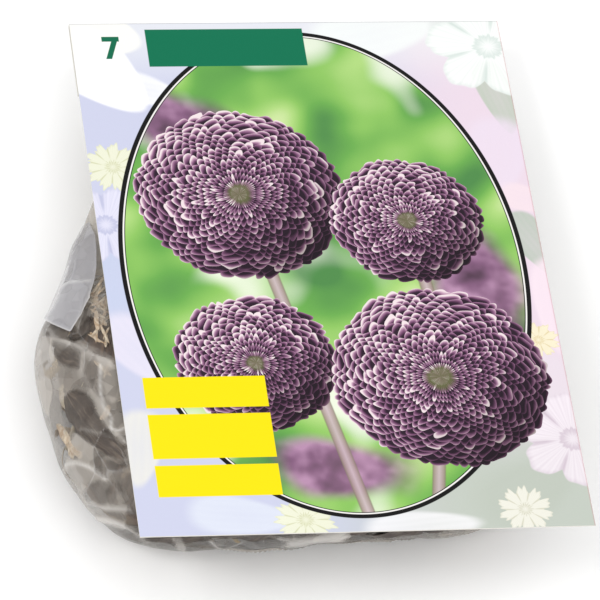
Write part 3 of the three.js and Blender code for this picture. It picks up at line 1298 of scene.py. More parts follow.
@dataclass(frozen=True)
class TornSkin:
    """Loose scraps of a bulb's outer skin, pale and thin."""

    pale: str = "e8d9c0"
    dark: str = "b39069"

    def material(self) -> Material:
        """Makes the scraps' material.

        Returns:
            The material.
        """
        graph = Graph("torn_skin")
        at = graph.place()
        grain = graph.clouds(at, 0.5, 4.0, 0.6, 1.0)
        colour = graph.ramp(grain, [(0.34, self.dark), (0.62, self.pale)])
        return graph.finish(
            Base_Color=colour, Roughness=grain.between(0.45, 0.75), Normal=graph.bump(grain, 0.2, 0.7)
        )


@dataclass(frozen=True)
class ShavingWood:
    """Pale shaved wood, with its grain along each curl."""

    pale: str = "ddd1ba"
    mid: str = "bda988"
    dark: str = "8c745a"

    def material(self) -> Material:
        """Makes the shavings' material.

        Returns:
            The material.
        """
        graph = Graph("shaving_wood")
        along, across, _ = graph.split(graph.mapped("curl"))
        own = along.whole()
        luck = graph.signal("ShaderNodeTexWhiteNoise", {}, {"Vector": graph.join(own, 0.0)})
        grain = graph.clouds(graph.join(along * 3.0, across * 16.0, own), 1.0, 3.0, 0.6)
        tone = grain * 0.6 + luck * 0.45
        colour = graph.ramp(tone, [(0.25, self.dark), (0.5, self.mid), (0.75, self.pale)])
        normal = graph.bump(grain, 0.08, 0.8)
        return graph.finish(Base_Color=colour, Roughness=grain.between(0.6, 0.85), Normal=normal)


@dataclass(frozen=True)
class DriedGlue:
    """A band of clear glue, set in blobs."""

    def material(self) -> Material:
        """Makes the glue's material.

        Returns:
            The material.
        """
        graph = Graph("dried_glue")
        blobs = graph.clouds(graph.place(), 0.35, 2.0)
        colour = graph.blend(blobs, "d9c99a", "efe6c9")
        return graph.finish(
            Base_Color=colour, Roughness=blobs.between(0.2, 0.45), Normal=graph.bump(blobs, 0.15, 0.6)
        )


@dataclass(frozen=True)
class FloorPaint:
    """The plain pale floor."""

    tone: float = 0.97

    def material(self) -> Material:
        """The floor's material."""
        graph = Graph("pale_floor")
        return graph.finish(Base_Color=(self.tone,) * 3, Roughness=0.7, Specular_IOR_Level=0.2)


# ---- The packet's pieces ----


@dataclass
class PrintedCard:
    """The stiff card: one sheet with its top folded over to the back."""

    plane: CardPlane = field(default_factory=CardPlane)
    flap: float = 30.0
    fold_radius: float = 1.25
    across: int = 24
    edge: float = 0.12
    curl: float = 0.12
    sharp_angle: float = math.radians(40)

    def _path(self) -> tuple[Array, Array, Array]:
        """The sheet's printed side from its lower edge over the fold.

        Returns:
            Its along, depth and unrolled distance.
        """
        front = np.linspace(self.plane.length, self.fold_radius, 40)
        turn = np.linspace(0, math.pi, 13)[1:-1]
        back = np.linspace(self.fold_radius, self.flap, 8)
        radius = self.fold_radius
        along = np.concatenate([front, radius - radius * np.sin(turn), back])
        depth = np.concatenate([0 * front, radius - radius * np.cos(turn), 0 * back + 2 * radius])
        unrolled = np.concatenate([front, radius - radius * turn, radius * (1 - math.pi) - (back - radius)])
        return along, depth, unrolled

    def _side(self, x: Array, inwards: float) -> Array:
        """One side of the sheet.

        Args:
            x: the distances of its points from the left edge.
            inwards: how far it is from the printed side.

        Returns:
            Rows of points, in the frame.
        """
        along, depth, _ = self._path()
        step_along, step_depth = np.gradient(along), np.gradient(depth)
        size = np.hypot(step_along, step_depth)
        along = along + step_depth / size * inwards
        depth = depth - step_along / size * inwards
        outwards, down = (x / self.plane.width - 0.5) * 2, along / self.plane.length
        lift = self.curl * outwards[None, :] ** 2 * down[:, None] ** 2
        return self.plane.points(x[None, :], along[:, None], depth[:, None] - lift)

    def _maps(self, mesh: bpy.types.Mesh, rows: int, x: Array, flat_faces: int) -> None:
        """Gives the mesh its map of the print and the map that its baked picture uses.

        Args:
            mesh: the card's mesh.
            rows: how many rows of points a side has.
            x: the distances of a row's points from the left edge.
            flat_faces: how many of the faces are on the two sides. The rest are cut edges.
        """
        columns = len(x)
        _, _, unrolled = self._path()
        top, bottom = unrolled.min(), unrolled.max()
        scale = 1 / (bottom - top)
        sheet = mesh.uv_layers.new(name="sheet")
        bake = mesh.uv_layers.new(name="OFBake")
        # The baked picture holds the printed side, the back at half its size beside it, and the cut edges in strips.
        edge_row = self.plane.width * scale + 0.33
        for polygon in mesh.polygons:
            for loop in polygon.loop_indices:
                place = mesh.loops[loop].vertex_index
                side, rest = divmod(place, rows * columns)
                row, column = divmod(rest, columns)
                sheet.data[loop].uv = (x[column] / self.plane.width, unrolled[row] / self.plane.length)
                u, v = x[column] * scale, (bottom - unrolled[row]) * scale
                if polygon.material_index == 0:
                    bake.data[loop].uv = (u * 0.998, v)
                elif polygon.index < flat_faces:
                    bake.data[loop].uv = (self.plane.width * scale + 0.01 + u * 0.5, v * 0.5)
                else:
                    reach = v if column in (0, columns - 1) else u
                    offset = {0: 0.0, columns - 1: 0.01}.get(column, 0.02 if row == 0 else 0.03)
                    bake.data[loop].uv = (edge_row + offset + side * 0.006, reach * 0.98)

    def build(self) -> Piece:
        """Makes the card, in place of the CAD's.

        Returns:
            The piece.
        """
        width = self.plane.width
        x = np.concatenate([[0.0], np.linspace(self.edge, width - self.edge, self.across), [width]])
        outer = self._side(x, 0.0)
        inner = self._side(x, self.plane.thick)
        rows, columns = outer.shape[:2]
        points = np.concatenate([outer.reshape(-1, 3), inner.reshape(-1, 3)])
        count = rows * columns
        front = grid_faces(rows, columns)
        back = [tuple(place + count for place in reversed(face)) for face in front]
        edges = []
        for line, flipped in (
            (range(0, count, columns), False), (range(columns - 1, count, columns), True),
            (range(columns), True), (range(count - columns, count), False),
        ):
            for a, b in zip(line, line[1:]):
                face = (a, b, b + count, a + count)
                edges.append(face[::-1] if flipped else face)
        piece = make_piece(
            "card_sheet", points, front + back + edges, CardPrint().material(), Slot.CARD, ["printed_card"]
        )
        piece.data.materials.append(CardStock().material())
        for polygon in piece.data.polygons:
            polygon.material_index = 0 if polygon.index < len(front) else 1
        self._maps(piece.data, rows, x, len(front) + len(back))
        piece.data.set_sharp_from_angle(angle=self.sharp_angle)
        return piece


def from_line(
    start: tuple[float, float], end: tuple[float, float], along: Array, wrap: Array
) -> tuple[Array, Array]:
    """The shortest way from a straight line on the film to points of it.

    Args:
        start: the line's start: its distance from the card's fold, and how far round the bag it is.
        end: its end, in the same way.
        along: the points' distances from the card's fold.
        wrap: how far round the bag they are.

    Returns:
        How far each way goes along the bag and round it.
    """
    to_along, to_wrap = end[0] - start[0], end[1] - start[1]
    share = ((along - start[0]) * to_along + (wrap - start[1]) * to_wrap) / (to_along ** 2 + to_wrap ** 2)
    share = np.clip(share, 0, 1)
    return along - start[0] - share * to_along, wrap - start[1] - share * to_wrap


@dataclass(frozen=True)
class FoldLine:
    """A sharp fold in the film: where it runs on the bag's left side, and how it stands and looks."""

    run: Line
    wide: float
    high: float
    milk: float = 0.3
    # How bright the fold's painted highlight is.
    rim: float = 0.0
    sharp: float = 0.4
    least: float = 1.1

    def near(self, along: Array, wrap: Array) -> Array:
        """How near points are to the fold.

        Args:
            along: their distances from the card's fold.
            wrap: how far round the bag they are.

        Returns:
            1 on the fold and 0 outside its width, which is less on its sharp side.
        """
        away = np.full(along.shape, FAR)
        sharp = min(max(self.sharp, self.least / self.wide), 1.0)
        for start, end in zip(self.run, self.run[1:]):
            gap_along, gap_wrap = from_line(start, end, along, wrap)
            on_sharp_side = gap_along * (end[1] - start[1]) > gap_wrap * (end[0] - start[0])
            away = np.minimum(away, np.hypot(gap_along, gap_wrap) / np.where(on_sharp_side, sharp, 1.0))
        return np.clip(1 - away / self.wide, 0, 1)


@dataclass(frozen=True)
class FilmPatch:
    """A part of the film's left side with its own milkiness: a window over something dark, or a milky fold."""

    milk: float
    outline: Line
    soft: float = 1.6

    def cover(self, along: Array, wrap: Array) -> Array:
        """How far points are inside the patch.

        Args:
            along: their distances from the card's fold.
            wrap: how far round the bag they are.

        Returns:
            1 inside the patch, 0 outside it, and between them at its soft edge.
        """
        away = np.full(along.shape, FAR)
        inside = np.zeros(along.shape, bool)
        for start, end in zip(self.outline, self.outline[1:] + self.outline[:1]):
            away = np.minimum(away, np.hypot(*from_line(start, end, along, wrap)))
            crosses = (start[1] > wrap) != (end[1] > wrap)
            rise_wrap = end[1] - start[1] or 1.0
            inside ^= crosses & (along < start[0] + (wrap - start[1]) * (end[0] - start[0]) / rise_wrap)
        return rise(np.where(inside, away, -away), -self.soft / 2, self.soft / 2)


@dataclass(frozen=True)
class EndMark:
    """A fold in the film of the bag's lower end: it runs from the top to the back, and can lean sideways."""

    x: float
    wide: float
    lean: float
    milk: float
    # How bright the fold's painted highlight is.
    rim: float
    flat: float = 0.0
    middle_depth: float = 33.0
    reach: float = 7.0
    waver: float = 0.09
    lower_end: tuple[float, float] = (6.4, 2.8)

    def near(self, x: Array, depth: Array) -> Array:
        """How near points are to the fold.

        Args:
            x: their distances from the card's left edge.
            depth: their distances behind its printed face.

        Returns:
            1 on the fold and 0 outside its width.
        """
        away = depth - self.middle_depth
        wander = np.sin(depth * 0.8 + self.x) + 0.5 * np.sin(depth * 1.9)
        across = np.abs(x - self.x - self.lean * away - self.waver * self.wide * wander) / self.wide
        lower = away + 0.7 * np.sin(x * 0.42) + 0.4 * np.sin(x * 1.1)
        fade = np.exp(-((away / self.reach) ** 2)) * rise(lower, *self.lower_end)
        return np.clip((1 - across) / (1 - self.flat), 0, 1) * fade


END_MARKS = (
    EndMark(19.5, 2.4, 0.3, 0.8, 0.3, 0.5), EndMark(31.3, 1.5, 0.65, 0.4, 0.7), EndMark(36.6, 1.5, -0.95, 0.4, 0.7),
    EndMark(64, 13, 0.4, 0.9, 0.55, 0.7), EndMark(86, 2.4, -0.5, 0.3, 0.2), EndMark(99, 3, 0.4, 0.4, 0.2),
    EndMark(118, 5, -0.4, 0.5, 0.3), EndMark(8, 3, 0.8, 0.4, 0.3),
)
LEFT_PATCHES = (
    FilmPatch(0.5, ((104, 2), (104, 10), (118, 8.5), (126, 11), (131, 10), (139.5, 3), (138, -4), (104, -4)), 3.0),
    FilmPatch(0.16, ((125.7, 10.3), (121, 7.3), (123.3, 5.2), (127.5, 0.9), (131.2, 1.2), (139.5, 2.4), (136.9, 4),
                     (134.1, 6.9), (130.1, 11))),
    FilmPatch(0.1, ((125.6, 20.9), (127.4, 17.7), (130.6, 14.8), (135, 11.7), (137.9, 12.5), (140.7, 13.8),
                    (139.4, 16), (135.9, 19.4), (131.9, 21.2), (128.9, 21.5))),
    FilmPatch(0.1, ((148, 24), (147.2, 20.2), (147.1, 17.5), (149.9, 15.1), (154, 14), (157.5, 14.6), (161.8, 14.2),
                    (166.9, 14.1), (169.9, 13.4), (172.2, 13), (175.6, 15.4), (174.4, 18.1), (171.9, 20.7),
                    (168.3, 21.2), (165.3, 22.4), (160.8, 24.5), (156.7, 26.6), (151.3, 26.2)), 1.3),
    FilmPatch(0.16, ((174.8, 42), (175.7, 33.4), (176.9, 28.4), (179, 24.1), (181.6, 20.1), (183, 20.9),
                     (181.7, 24.6), (181.5, 28.7), (181.8, 31.5), (180, 39.3), (176.8, 45))),
    FilmPatch(0.85, ((137.5, 7.5), (141, 0), (149.3, 0), (154.4, 4.5), (155.7, 8.9), (152.8, 9.5),
                     (147.5, 8.6)), 1.2),
    FilmPatch(0.4, ((174, 22), (175.1, 16), (178, 12), (186, 17), (184, 21), (179, 20.5)), 2.0),
    FilmPatch(0.05, ((111, 29.5), (115, 29), (120.5, 25), (126, 19.5), (130.5, 13), (129.5, 9.8), (124, 12),
                     (117, 20)), 1.2),
    FilmPatch(0.3, ((152, 33), (156.4, 29.2), (161.5, 28.6), (167.6, 27.8), (168, 31), (163.4, 35.2),
                    (157, 34)), 1.2),
)
LEFT_FOLDS = (
    FoldLine(((120, 22), (127.1, 17.7), (132.4, 12.0), (137.2, 8.0), (140.6, 4.2)), 3.4, 1.1, 0.3, 0.25),
    FoldLine(((136.3, 12.0), (142.7, 13.5), (149.1, 12.6), (156.7, 12.2), (164.2, 12.4), (169.6, 12)), 2.6, 0.9,
             0.2, 0.12),
    FoldLine(((141.4, 7.4), (147.3, 9.4), (152.4, 10.9), (156.8, 11.5), (160.2, 11.0)), 1.1, 0.5, 0.2, 0.75),
    FoldLine(((161.1, 11.1), (165.4, 13.1), (166.1, 11.2), (165.4, 8.6)), 0.9, 0.4, 0.2, 0.8),
    FoldLine(((161, 22), (165.5, 16.5), (170.8, 13.4)), 1.0, 0.3, 0.25, 0.25),
    FoldLine(((165.2, 43.3), (166.1, 36.6), (168.3, 32.1), (172.2, 28.5), (177.5, 25.2)), 1.7, 0.7, 0.3, 0.55),
    FoldLine(((179.5, 46.2), (182, 40), (183.9, 35.6), (186.9, 28.9)), 2.0, 0.9, 0.5, 0.6),
    FoldLine(((176, 44), (182, 33), (186, 22)), 1.4, 0.6, 0.4, 0.4),
)


@dataclass
class FilmBag:
    """The clear bag: one film, sealed flat at its head, crinkled and drawn over what it holds."""

    room: BagRoom = field(default_factory=BagRoom)
    side_points: int = 100
    top_points: int = 60
    bottom_points: int = 120
    bulb_gap: float = 0.35
    card_gap: float = 0.16
    floor_gap: float = 0.25
    folds: tuple[FoldLine, ...] = LEFT_FOLDS
    patches: tuple[FilmPatch, ...] = LEFT_PATCHES
    end_marks: tuple[EndMark, ...] = END_MARKS
    random_folds: int = 80
    fold_step: float = 9.0
    stand: float = 0.5
    milk: float = 0.32
    head_milk: float = 0.3
    shoulder_milk: float = 0.28
    upper_milk: float = 0.4
    side_milk: float = 0.26
    end_milk: float = 0.45
    end_clear: float = 0.26
    bulb_clear: float = 0.5
    bulge: float = 0.7
    tuck: float = 2.8
    middle_x: float = 74.0
    seed: int = 3
    vents: tuple[float, ...] = (34.0, 74.0, 114.0)
    vent_along: float = 72.0
    vent_radius: float = 3.0
    vent_rim: float = 0.7
    noise_shifts: tuple[Triple, ...] = ((0, 0, 0), (31.7, 11.3, 5.9), (7.1, 53.9, 23.3))
    slack_inner: Line = (
        (80, 13), (88.2, 10.2), (98.8, 9.6), (108.7, 8.0), (115.1, 7.0), (121.8, 8.9), (127.4, 12.1),
    )
    slack_outer: Line = (
        (77, 26), (88, 29), (97, 29), (104, 28.5), (111.5, 28.0), (118.5, 21), (127.8, 12.8),
    )
    slack_crease: FoldLine = FoldLine(((102.5, 25), (105.2, 16.7), (108.3, 9.3)), 1.3, 0.4)
    slack_rows: int = 70
    slack_columns: int = 40

    def _stations(self) -> Array:
        """Where the film's rings of points are.

        Returns:
            Their distances from the card's fold.
        """
        room = self.room
        head = np.linspace(room.seal_start, room.seal_end, 12)
        opening = np.linspace(room.seal_end, room.full_start, 78)[1:]
        full = np.linspace(room.full_start, room.round_start, 112)[1:]
        turn = np.radians(np.linspace(0, 86, 84))[1:]
        return np.concatenate([head, opening, full, room.round_start + room.round_radius * np.sin(turn)])

    def _smooth(self, along: Array) -> tuple[Array, Array, Array]:
        """The bag's smooth shape.

        Args:
            along: the rings' distances from the fold.

        Returns:
            Rings of points in the card's axes, how far round the bag each is from the left of its flat top, and how
            far each is from the line low on the right side where that count starts again.
        """
        centre, reach, middle, half = (value[:, None] for value in self.room.section(along))
        side = half * self.room.side_roundness
        arc = np.radians(np.linspace(-90, 90, self.side_points))
        flat = reach - side
        curve = (side + half) / 2
        share = np.linspace(-1, 1, self.top_points + 2)[1:-1]
        low_share = np.linspace(-1, 1, self.bottom_points + 2)[1:-1]
        round_side, round_depth = side * np.cos(arc), middle + half * np.sin(arc)
        down_side = curve * (arc + math.pi / 2)
        parts = [
            (centre + flat + round_side, round_depth, -2 * flat - down_side, curve * (math.pi / 2 - arc)),
            (centre - flat * share, middle - half + 0 * share, -flat * (1 - share), FAR + flat * share),
            (centre - flat - round_side, round_depth, down_side, FAR + curve * arc),
            (centre + flat * low_share, middle + half + 0 * low_share, curve * math.pi + flat * (1 + low_share),
             flat * (1 - low_share)),
        ]
        parts[0] = tuple(part[:, ::-1] for part in parts[0])
        x, depth, wrap, seam = (np.concatenate([part[i] for part in parts], axis=1) for i in range(4))
        return np.stack([x, along[:, None] + 0 * x, depth], axis=-1), wrap, seam

    def _scattered(self) -> list[FoldLine]:
        """Folds strewn over the rest of the bag.

        Returns:
            The folds.
        """
        chance = np.random.default_rng(self.seed)
        lines = []
        for _ in range(self.random_folds):
            along = chance.uniform(48, 184)
            wrap = chance.choice([chance.uniform(-215, -20), chance.uniform(60, 210)])
            heading = chance.normal(0, 0.55) if along < 100 else chance.uniform(0, math.pi)
            run = [(along, wrap)]
            for _ in range(4):
                heading += chance.normal(0, 0.3)
                along, wrap = along + self.fold_step * math.cos(heading), wrap + self.fold_step * math.sin(heading)
                run.append((along, wrap))
            wide = chance.uniform(1.2, 5.5)
            # How bright each scattered fold's painted highlight is.
            rim = chance.uniform(0, 0.6) if wide < 3 else 0.12
            high, milk = chance.uniform(0.4, 1.2), chance.uniform(0.3, 0.7)
            lines.append(FoldLine(tuple(run), wide, high, milk, rim, least=1.5))
        return lines

    def _crumple(self, card: Array, wrap: Array) -> Array:
        """How deep the film's soft creases are.

        Args:
            card: its points, in the card's axes.
            wrap: how far round the bag they are.

        Returns:
            How far each point stands in from the bag's smooth shape, in millimetres.
        """
        x, along = card[..., 0], card[..., 1]
        flat = card.reshape(-1, 3)
        shifts = [Vector(shift) for shift in self.noise_shifts]
        wide = [[noise.noise(Vector(point) * 0.03 + shift) for shift in shifts] for point in flat]
        wide = np.array(wide).reshape(card.shape)
        bent = card + wide * 16
        fold = np.zeros(x.shape)
        for size, long, heading in ((0.7, 26, 0.3), (0.55, 19, 1.35), (0.4, 13, 2.2), (0.3, 9, 0.85)):
            across = bent[..., 0] * math.cos(heading) + bent[..., 1] * math.sin(heading) + bent[..., 2] * 0.7
            fold += size * np.abs((across / long) % 2 - 1)
        pull = rise(along, 36, 60) * rise(along, 120, 80)
        fan = (x - self.middle_x) / (0.55 + along / 130) + wide[..., 0] * 9
        fold += pull * 0.9 * np.abs((fan / 9.5) % 2 - 1)
        gather = rise(along, 158, 184)
        fold += gather * 0.5 * np.abs(((x + wide[..., 1] * 12) / 8.5) % 2 - 1)
        turned = np.exp(-((wrap - 27) / 13) ** 2)
        return fold * rise(along, 34, 52) * (1 - 0.85 * turned) + 0.5 * turned

    def _marks(self, piece: Piece, milk: Array, rim: Array) -> None:
        """Writes the film's looks on its points.

        Args:
            piece: the film.
            milk: how milky it is at each of its grid's points.
            rim: the painted highlight along its folds there.
        """
        for name, values in (("milk", milk), ("rim", rim)):
            layer = piece.data.attributes.new(name, "FLOAT", "POINT")
            whole = np.concatenate([values.ravel(), np.zeros(len(piece.data.vertices) - values.size)])
            layer.data.foreach_set("value", np.clip(whole, 0, 1).astype(np.float32))

    def _from_vent(self, x: Array, along: Array) -> tuple[Array, Array]:
        """How far points of the bag's back are from the nearest vent hole's middle, and that middle's x."""
        middle = np.array(self.vents)[np.argmin(np.abs(np.asarray(x)[..., None] - np.array(self.vents)), axis=-1)]
        return np.hypot(x - middle, along - self.vent_along), middle

    def _punch(self, piece: Piece, back_columns: range, columns: int) -> None:
        """Punches the round vent holes in the bag's back film.

        Args:
            piece: the film.
            back_columns: which points of a ring are on the bag's back.
            columns: how many points a ring has.
        """
        plane = self.room.plane
        mesh = bmesh.new()
        mesh.from_mesh(piece.data)
        punched = set()
        for face in mesh.faces:
            x, along, _ = plane.read(np.array(face.calc_center_median()))
            if all(corner.index % columns in back_columns for corner in face.verts):
                if self._from_vent(x, along)[0] < self.vent_radius:
                    punched.add(face)
        for corner in {corner for face in punched for corner in face.verts}:
            if all(face in punched for face in corner.link_faces):
                continue
            x, along, depth = plane.read(np.array(corner.co))
            away, middle = self._from_vent(x, along)
            stretch = self.vent_radius / away
            new_along = self.vent_along + (along - self.vent_along) * stretch
            _, _, middles, halves = self.room.section(np.array([along, new_along]))
            slope = float(np.diff(middles + halves)[0])
            corner.co = plane.points(middle + (x - middle) * stretch, new_along, depth + slope)
        bmesh.ops.delete(mesh, geom=list(punched), context="FACES")
        mesh.to_mesh(piece.data)
        mesh.free()

    def _milkiness(self, card: Array, wrap: Array, shoulder: Array) -> Array:
        """How milky the film is before its folds are drawn.

        Args:
            card: its points, in the card's axes.
            wrap: how far round the bag they are.
            shoulder: where the film is slack, over the left shoulder.

        Returns:
            The milk at each point, about 0 to 1.
        """
        along = card[..., 1]
        upper = rise(along, 92, 80) * rise(wrap, -6, 0) * rise(wrap, 60, 44)
        sides = rise(np.abs(card[..., 0] - self.middle_x), 20, 66) * rise(along, 190, 178)
        milk = self.milk + self.head_milk * rise(along, 120, 84) - self.end_clear * rise(along, 172, 184)
        milk = milk + self.shoulder_milk * shoulder + self.upper_milk * upper
        milk = milk + self.side_milk * (1 - shoulder) * sides
        for patch in self.patches:
            cover = patch.cover(along, wrap)
            milk = milk * (1 - cover) + patch.milk * cover
        return milk

    def _settled(self, points: Array) -> Array:
        """The film where the card, the floor and its own slack at the lower end let it be.

        Args:
            points: its points, in the frame.

        Returns:
            The moved points.
        """
        plane = self.room.plane
        x, along, depth = plane.read(points)
        slack = self.bulge * np.exp(-((x - 22) / 16) ** 2) - self.tuck * rise(x, 62, 92)
        along = along + rise(along, 180, 190) * slack
        depth = np.maximum(depth, plane.thick + self.card_gap + 0.35 * rise(along, 34, 60))
        points = plane.points(x, along, depth)
        points[..., 2] = np.maximum(points[..., 2], self.floor_gap * MM)
        return points

    def build(self, material: Material) -> Piece:
        """Makes the film, in place of the CAD's bag.

        Args:
            material: its finish.

        Returns:
            The piece.
        """
        card, wrap, seam = self._smooth(self._stations())
        plane = self.room.plane
        points = plane.points(card[..., 0], card[..., 1], card[..., 2])
        normal = grid_normals(points)
        along = card[..., 1]
        shoulder = rise(along, 110, 122) * rise(along, 190, 182) * rise(wrap, -4, 3) * rise(wrap, 70, 48)
        stand = self.stand - self._crumple(card, wrap)
        milk = self._milkiness(card, wrap, shoulder)
        # Painted highlights along the sharp folds, kept as a number at each point.
        rim = np.zeros(wrap.shape)
        for line in (*self.folds, *self._scattered()):
            near = line.near(along, wrap) * rise(seam, 0, 7)
            stand += near ** 1.5 * line.high
            milk = milk + near * line.milk
            rim = np.maximum(rim, near ** 2 * line.rim)
        milk = milk + self.end_milk * rise(along, 172, 182) * rise(card[..., 2], 37, 43)
        marks = [(mark, mark.near(card[..., 0], card[..., 2]) * rise(along, 181, 188)) for mark in self.end_marks]
        stand += sum(near for _, near in marks) * 0.4
        points, clear = outside_bulbs(points + normal * (stand * MM)[..., None], self.bulb_gap)
        milk -= self.bulb_clear * (1 - shoulder) * np.exp(-np.maximum(clear, 0) / 2.5)
        for mark, near in marks:
            milk = milk + near * mark.milk
            rim = np.maximum(rim, near ** 1.5 * mark.rim)
        points = self._settled(points)
        rows, columns = points.shape[:2]
        back_columns = range(columns - self.bottom_points, columns)
        vent_away, _ = self._from_vent(*plane.read(points)[:2])
        # A pale ring round each vent hole, written into the same channel as the painted fold highlights.
        round_vent = np.exp(-np.abs(vent_away - self.vent_radius) / 0.6) * self.vent_rim
        rim[:, back_columns] = np.maximum(rim, round_vent)[:, back_columns]
        faces = grid_faces(rows, columns, closed=True)
        for end, line in enumerate((range(columns)[::-1], range((rows - 1) * columns, rows * columns))):
            faces += [(a, b, rows * columns + end) for a, b in zip(line, (*line[1:], line[0]))]
        points = np.concatenate([points.reshape(-1, 3), [points[0].mean(axis=0), points[-1].mean(axis=0)]])
        piece = make_piece("film_shell", points, faces, material, Slot.FILM, ["film_bag"])
        self._marks(piece, milk, rim)
        self._punch(piece, back_columns, columns)
        return piece

    def build_fold(self, material: Material) -> Piece:
        """Makes the slack fold of film that lies over the bag's left shoulder.

        Args:
            material: its finish.

        Returns:
            The piece.
        """
        inner, outer = np.array(self.slack_inner), np.array(self.slack_outer)
        row = np.linspace(0, len(inner) - 1, self.slack_rows)
        places = np.arange(len(inner))
        sides = [np.stack([np.interp(row, places, side[:, i]) for i in (0, 1)], axis=-1) for side in (inner, outer)]
        share = np.linspace(0, 1, self.slack_columns)[None, :, None]
        grid = sides[0][:, None] * (1 - share) + sides[1][:, None] * share
        along, wrap = grid[..., 0], grid[..., 1]
        across = np.linalg.norm(sides[1] - sides[0], axis=-1)[:, None]
        from_inner, to_outer = share[..., 0] * across, (1 - share[..., 0]) * across
        low = row[:, None] / row[-1]
        edge = np.minimum(from_inner, np.where(low > 0.7, to_outer, FAR))
        bend = 0.25 * np.sin(along * 0.33 + wrap * 0.2)
        lift = 1.5 + 0.5 * low + bend + 0.5 * np.exp(-edge / 0.9)
        near = self.slack_crease.near(along, wrap)
        lift = (lift + near * self.slack_crease.high) * rise(low, 0.0, 0.16) * (1 - 0.7 * rise(wrap, 17, 26)) + 0.45
        points = self.room.on_left(along, wrap, lift, self.room.plane.thick + self.card_gap)
        piece = make_piece("film_fold", points, grid_faces(self.slack_rows, self.slack_columns), material, Slot.FILM)
        # Painted highlights along the slack fold's edges and along its crease.
        rim = np.maximum(np.exp(-edge / 0.55) * 0.8 * rise(low, 0.35, 0.7), near ** 2 * 0.6)
        self._marks(piece, 0.62 - 0.5 * rise(low, 0.3, 0.02) + 0 * edge, rim)
        return piece


@dataclass
class BulbBody:
    """One bulb, with its ribbed skin, root plate and dry neck."""

    place: BulbPlace
    sides: int = 72
    rings: int = 60

    def _skin(self) -> tuple[Array, Array]:
        """The bulb's skin, in its own axes.

        Returns:
            Rows of points from the root plate to the neck, and each row's share of the way up.
        """
        outline = np.array(BULB_OUTLINE)
        walk = np.concatenate([[0], np.cumsum(np.hypot(*np.diff(outline, axis=0).T))])
        share = np.linspace(0.0, 1.0, self.rings)
        along = share * walk[-1]
        out = np.interp(along, walk, outline[:, 0])
        up = np.interp(along, walk, outline[:, 1])
        kernel = np.array([1, 2, 3, 2, 1]) / 9
        out[2:-2] = np.convolve(out, kernel, "valid")
        up[2:-2] = np.convolve(up, kernel, "valid")
        angle = np.linspace(0, 2 * math.pi, self.sides, endpoint=False)
        seed = self.place.number * 7.3
        rows = []
        for radius, height, part in zip(out, up, share):
            row = []
            for turn in angle:
                rib = noise.noise(Vector((math.cos(turn) * 6, math.sin(turn) * 6, seed + part)))
                lump = noise.noise(Vector((math.cos(turn), math.sin(turn), seed + part * 2.2)) * 1.3)
                size = radius * (1 - 0.012 - abs(rib) * 0.03 + lump * 0.012)
                swing = 0.06 * max(part - 0.78, 0) * 4
                row.append((size * math.cos(turn) + swing * math.sin(seed), size * math.sin(turn), height * 0.985))
            rows.append(row)
        return np.array(rows) * self.place.radius, share

    def build(self, material: Material) -> Piece:
        """Makes the bulb, in place of the CAD's.

        Args:
            material: its finish.

        Returns:
            The piece.
        """
        rows, share = self._skin()
        faces = grid_faces(self.rings, self.sides, closed=True)
        points = self.place.write(rows.reshape(-1, 3))
        name = f"bulb_{self.place.number}"
        piece = make_piece(f"{name}_body", points, faces, material, Slot.SKIN, [name])
        layer = piece.data.uv_layers.new(name="skin")
        for polygon in piece.data.polygons:
            for loop in polygon.loop_indices:
                row, side = divmod(piece.data.loops[loop].vertex_index, self.sides)
                closes = side == 0 and polygon.index % self.sides == self.sides - 1
                layer.data[loop].uv = (side / self.sides + closes, share[row])
        return piece


@dataclass(frozen=True)
class Scrap:
    """A torn sheet that lies just inside the film, on the bag's left side."""

    along: float
    wrap: float
    long: float
    wide: float
    heading: float
    under: float = 1.6
    curl: float = 1.2
    ragged: float = 0.4


# Dark torn skins on the left side, put where the inside of the bag lies in shade: partly real skins, partly painted
# shade.
DARK_SCRAPS = (
    Scrap(160, 19.5, 32, 13, -12, 1.8),
    Scrap(150.5, 21, 14, 11, 35, 2.6),
    Scrap(132, 17.5, 15, 12, -40, 2.0),
    Scrap(178.5, 31, 15, 12, 70, 2.0),
    Scrap(121, 12, 12, 9, 10, 2.4),
    Scrap(119.5, 23.5, 17, 10, 130, 2.0),
    Scrap(170, 36, 14, 9, 20, 3.0),
)


@dataclass(frozen=True)
class EndSheet:
    """A torn dark skin that lies just inside the film of the bag's lower end, where it also stands in, as painted
    shade, for the shadow under the card's edge.

    It is placed by its x and by how far round the rounded end it is, from the bag's back upwards.
    """

    x: float
    round_it: float
    long: float
    wide: float
    heading: float
    under: float = 2.2
    ragged: float = 0.55


# Dark skins in the bag's lower end, under the card's edge: partly loose skins, partly painted shade standing in for
# the shadow there.
END_SHADE_SHEETS = (
    EndSheet(20, 23, 22, 13, 15), EndSheet(33, 29, 20, 12, -30, 3.0), EndSheet(45, 21, 24, 14, 70, 2.4),
    EndSheet(55, 29, 22, 12, 8, 3.2), EndSheet(68, 22, 20, 13, -50, 2.2), EndSheet(77, 29, 22, 12, 12, 2.8),
    EndSheet(90, 21, 24, 13, 40, 2.4), EndSheet(99, 28, 20, 11, -12, 3.2), EndSheet(62, 16, 18, 10, 20, 3.6),
    EndSheet(84, 13, 16, 9, -25, 3.4), EndSheet(38, 14, 18, 9, 35, 3.6),
)
CREAM_SCRAPS = (
    Scrap(156.8, 31.6, 9, 3.8, -10, 0.8, 0.3, 0.4), Scrap(161.3, 31.2, 10, 4.4, 22, 0.9, 0.3, 0.4),
    Scrap(165.4, 29.8, 6, 3.4, -30, 0.8, 0.3, 0.4), Scrap(157.5, 12.2, 6, 2.2, 50, 1.6, 0.3),
)


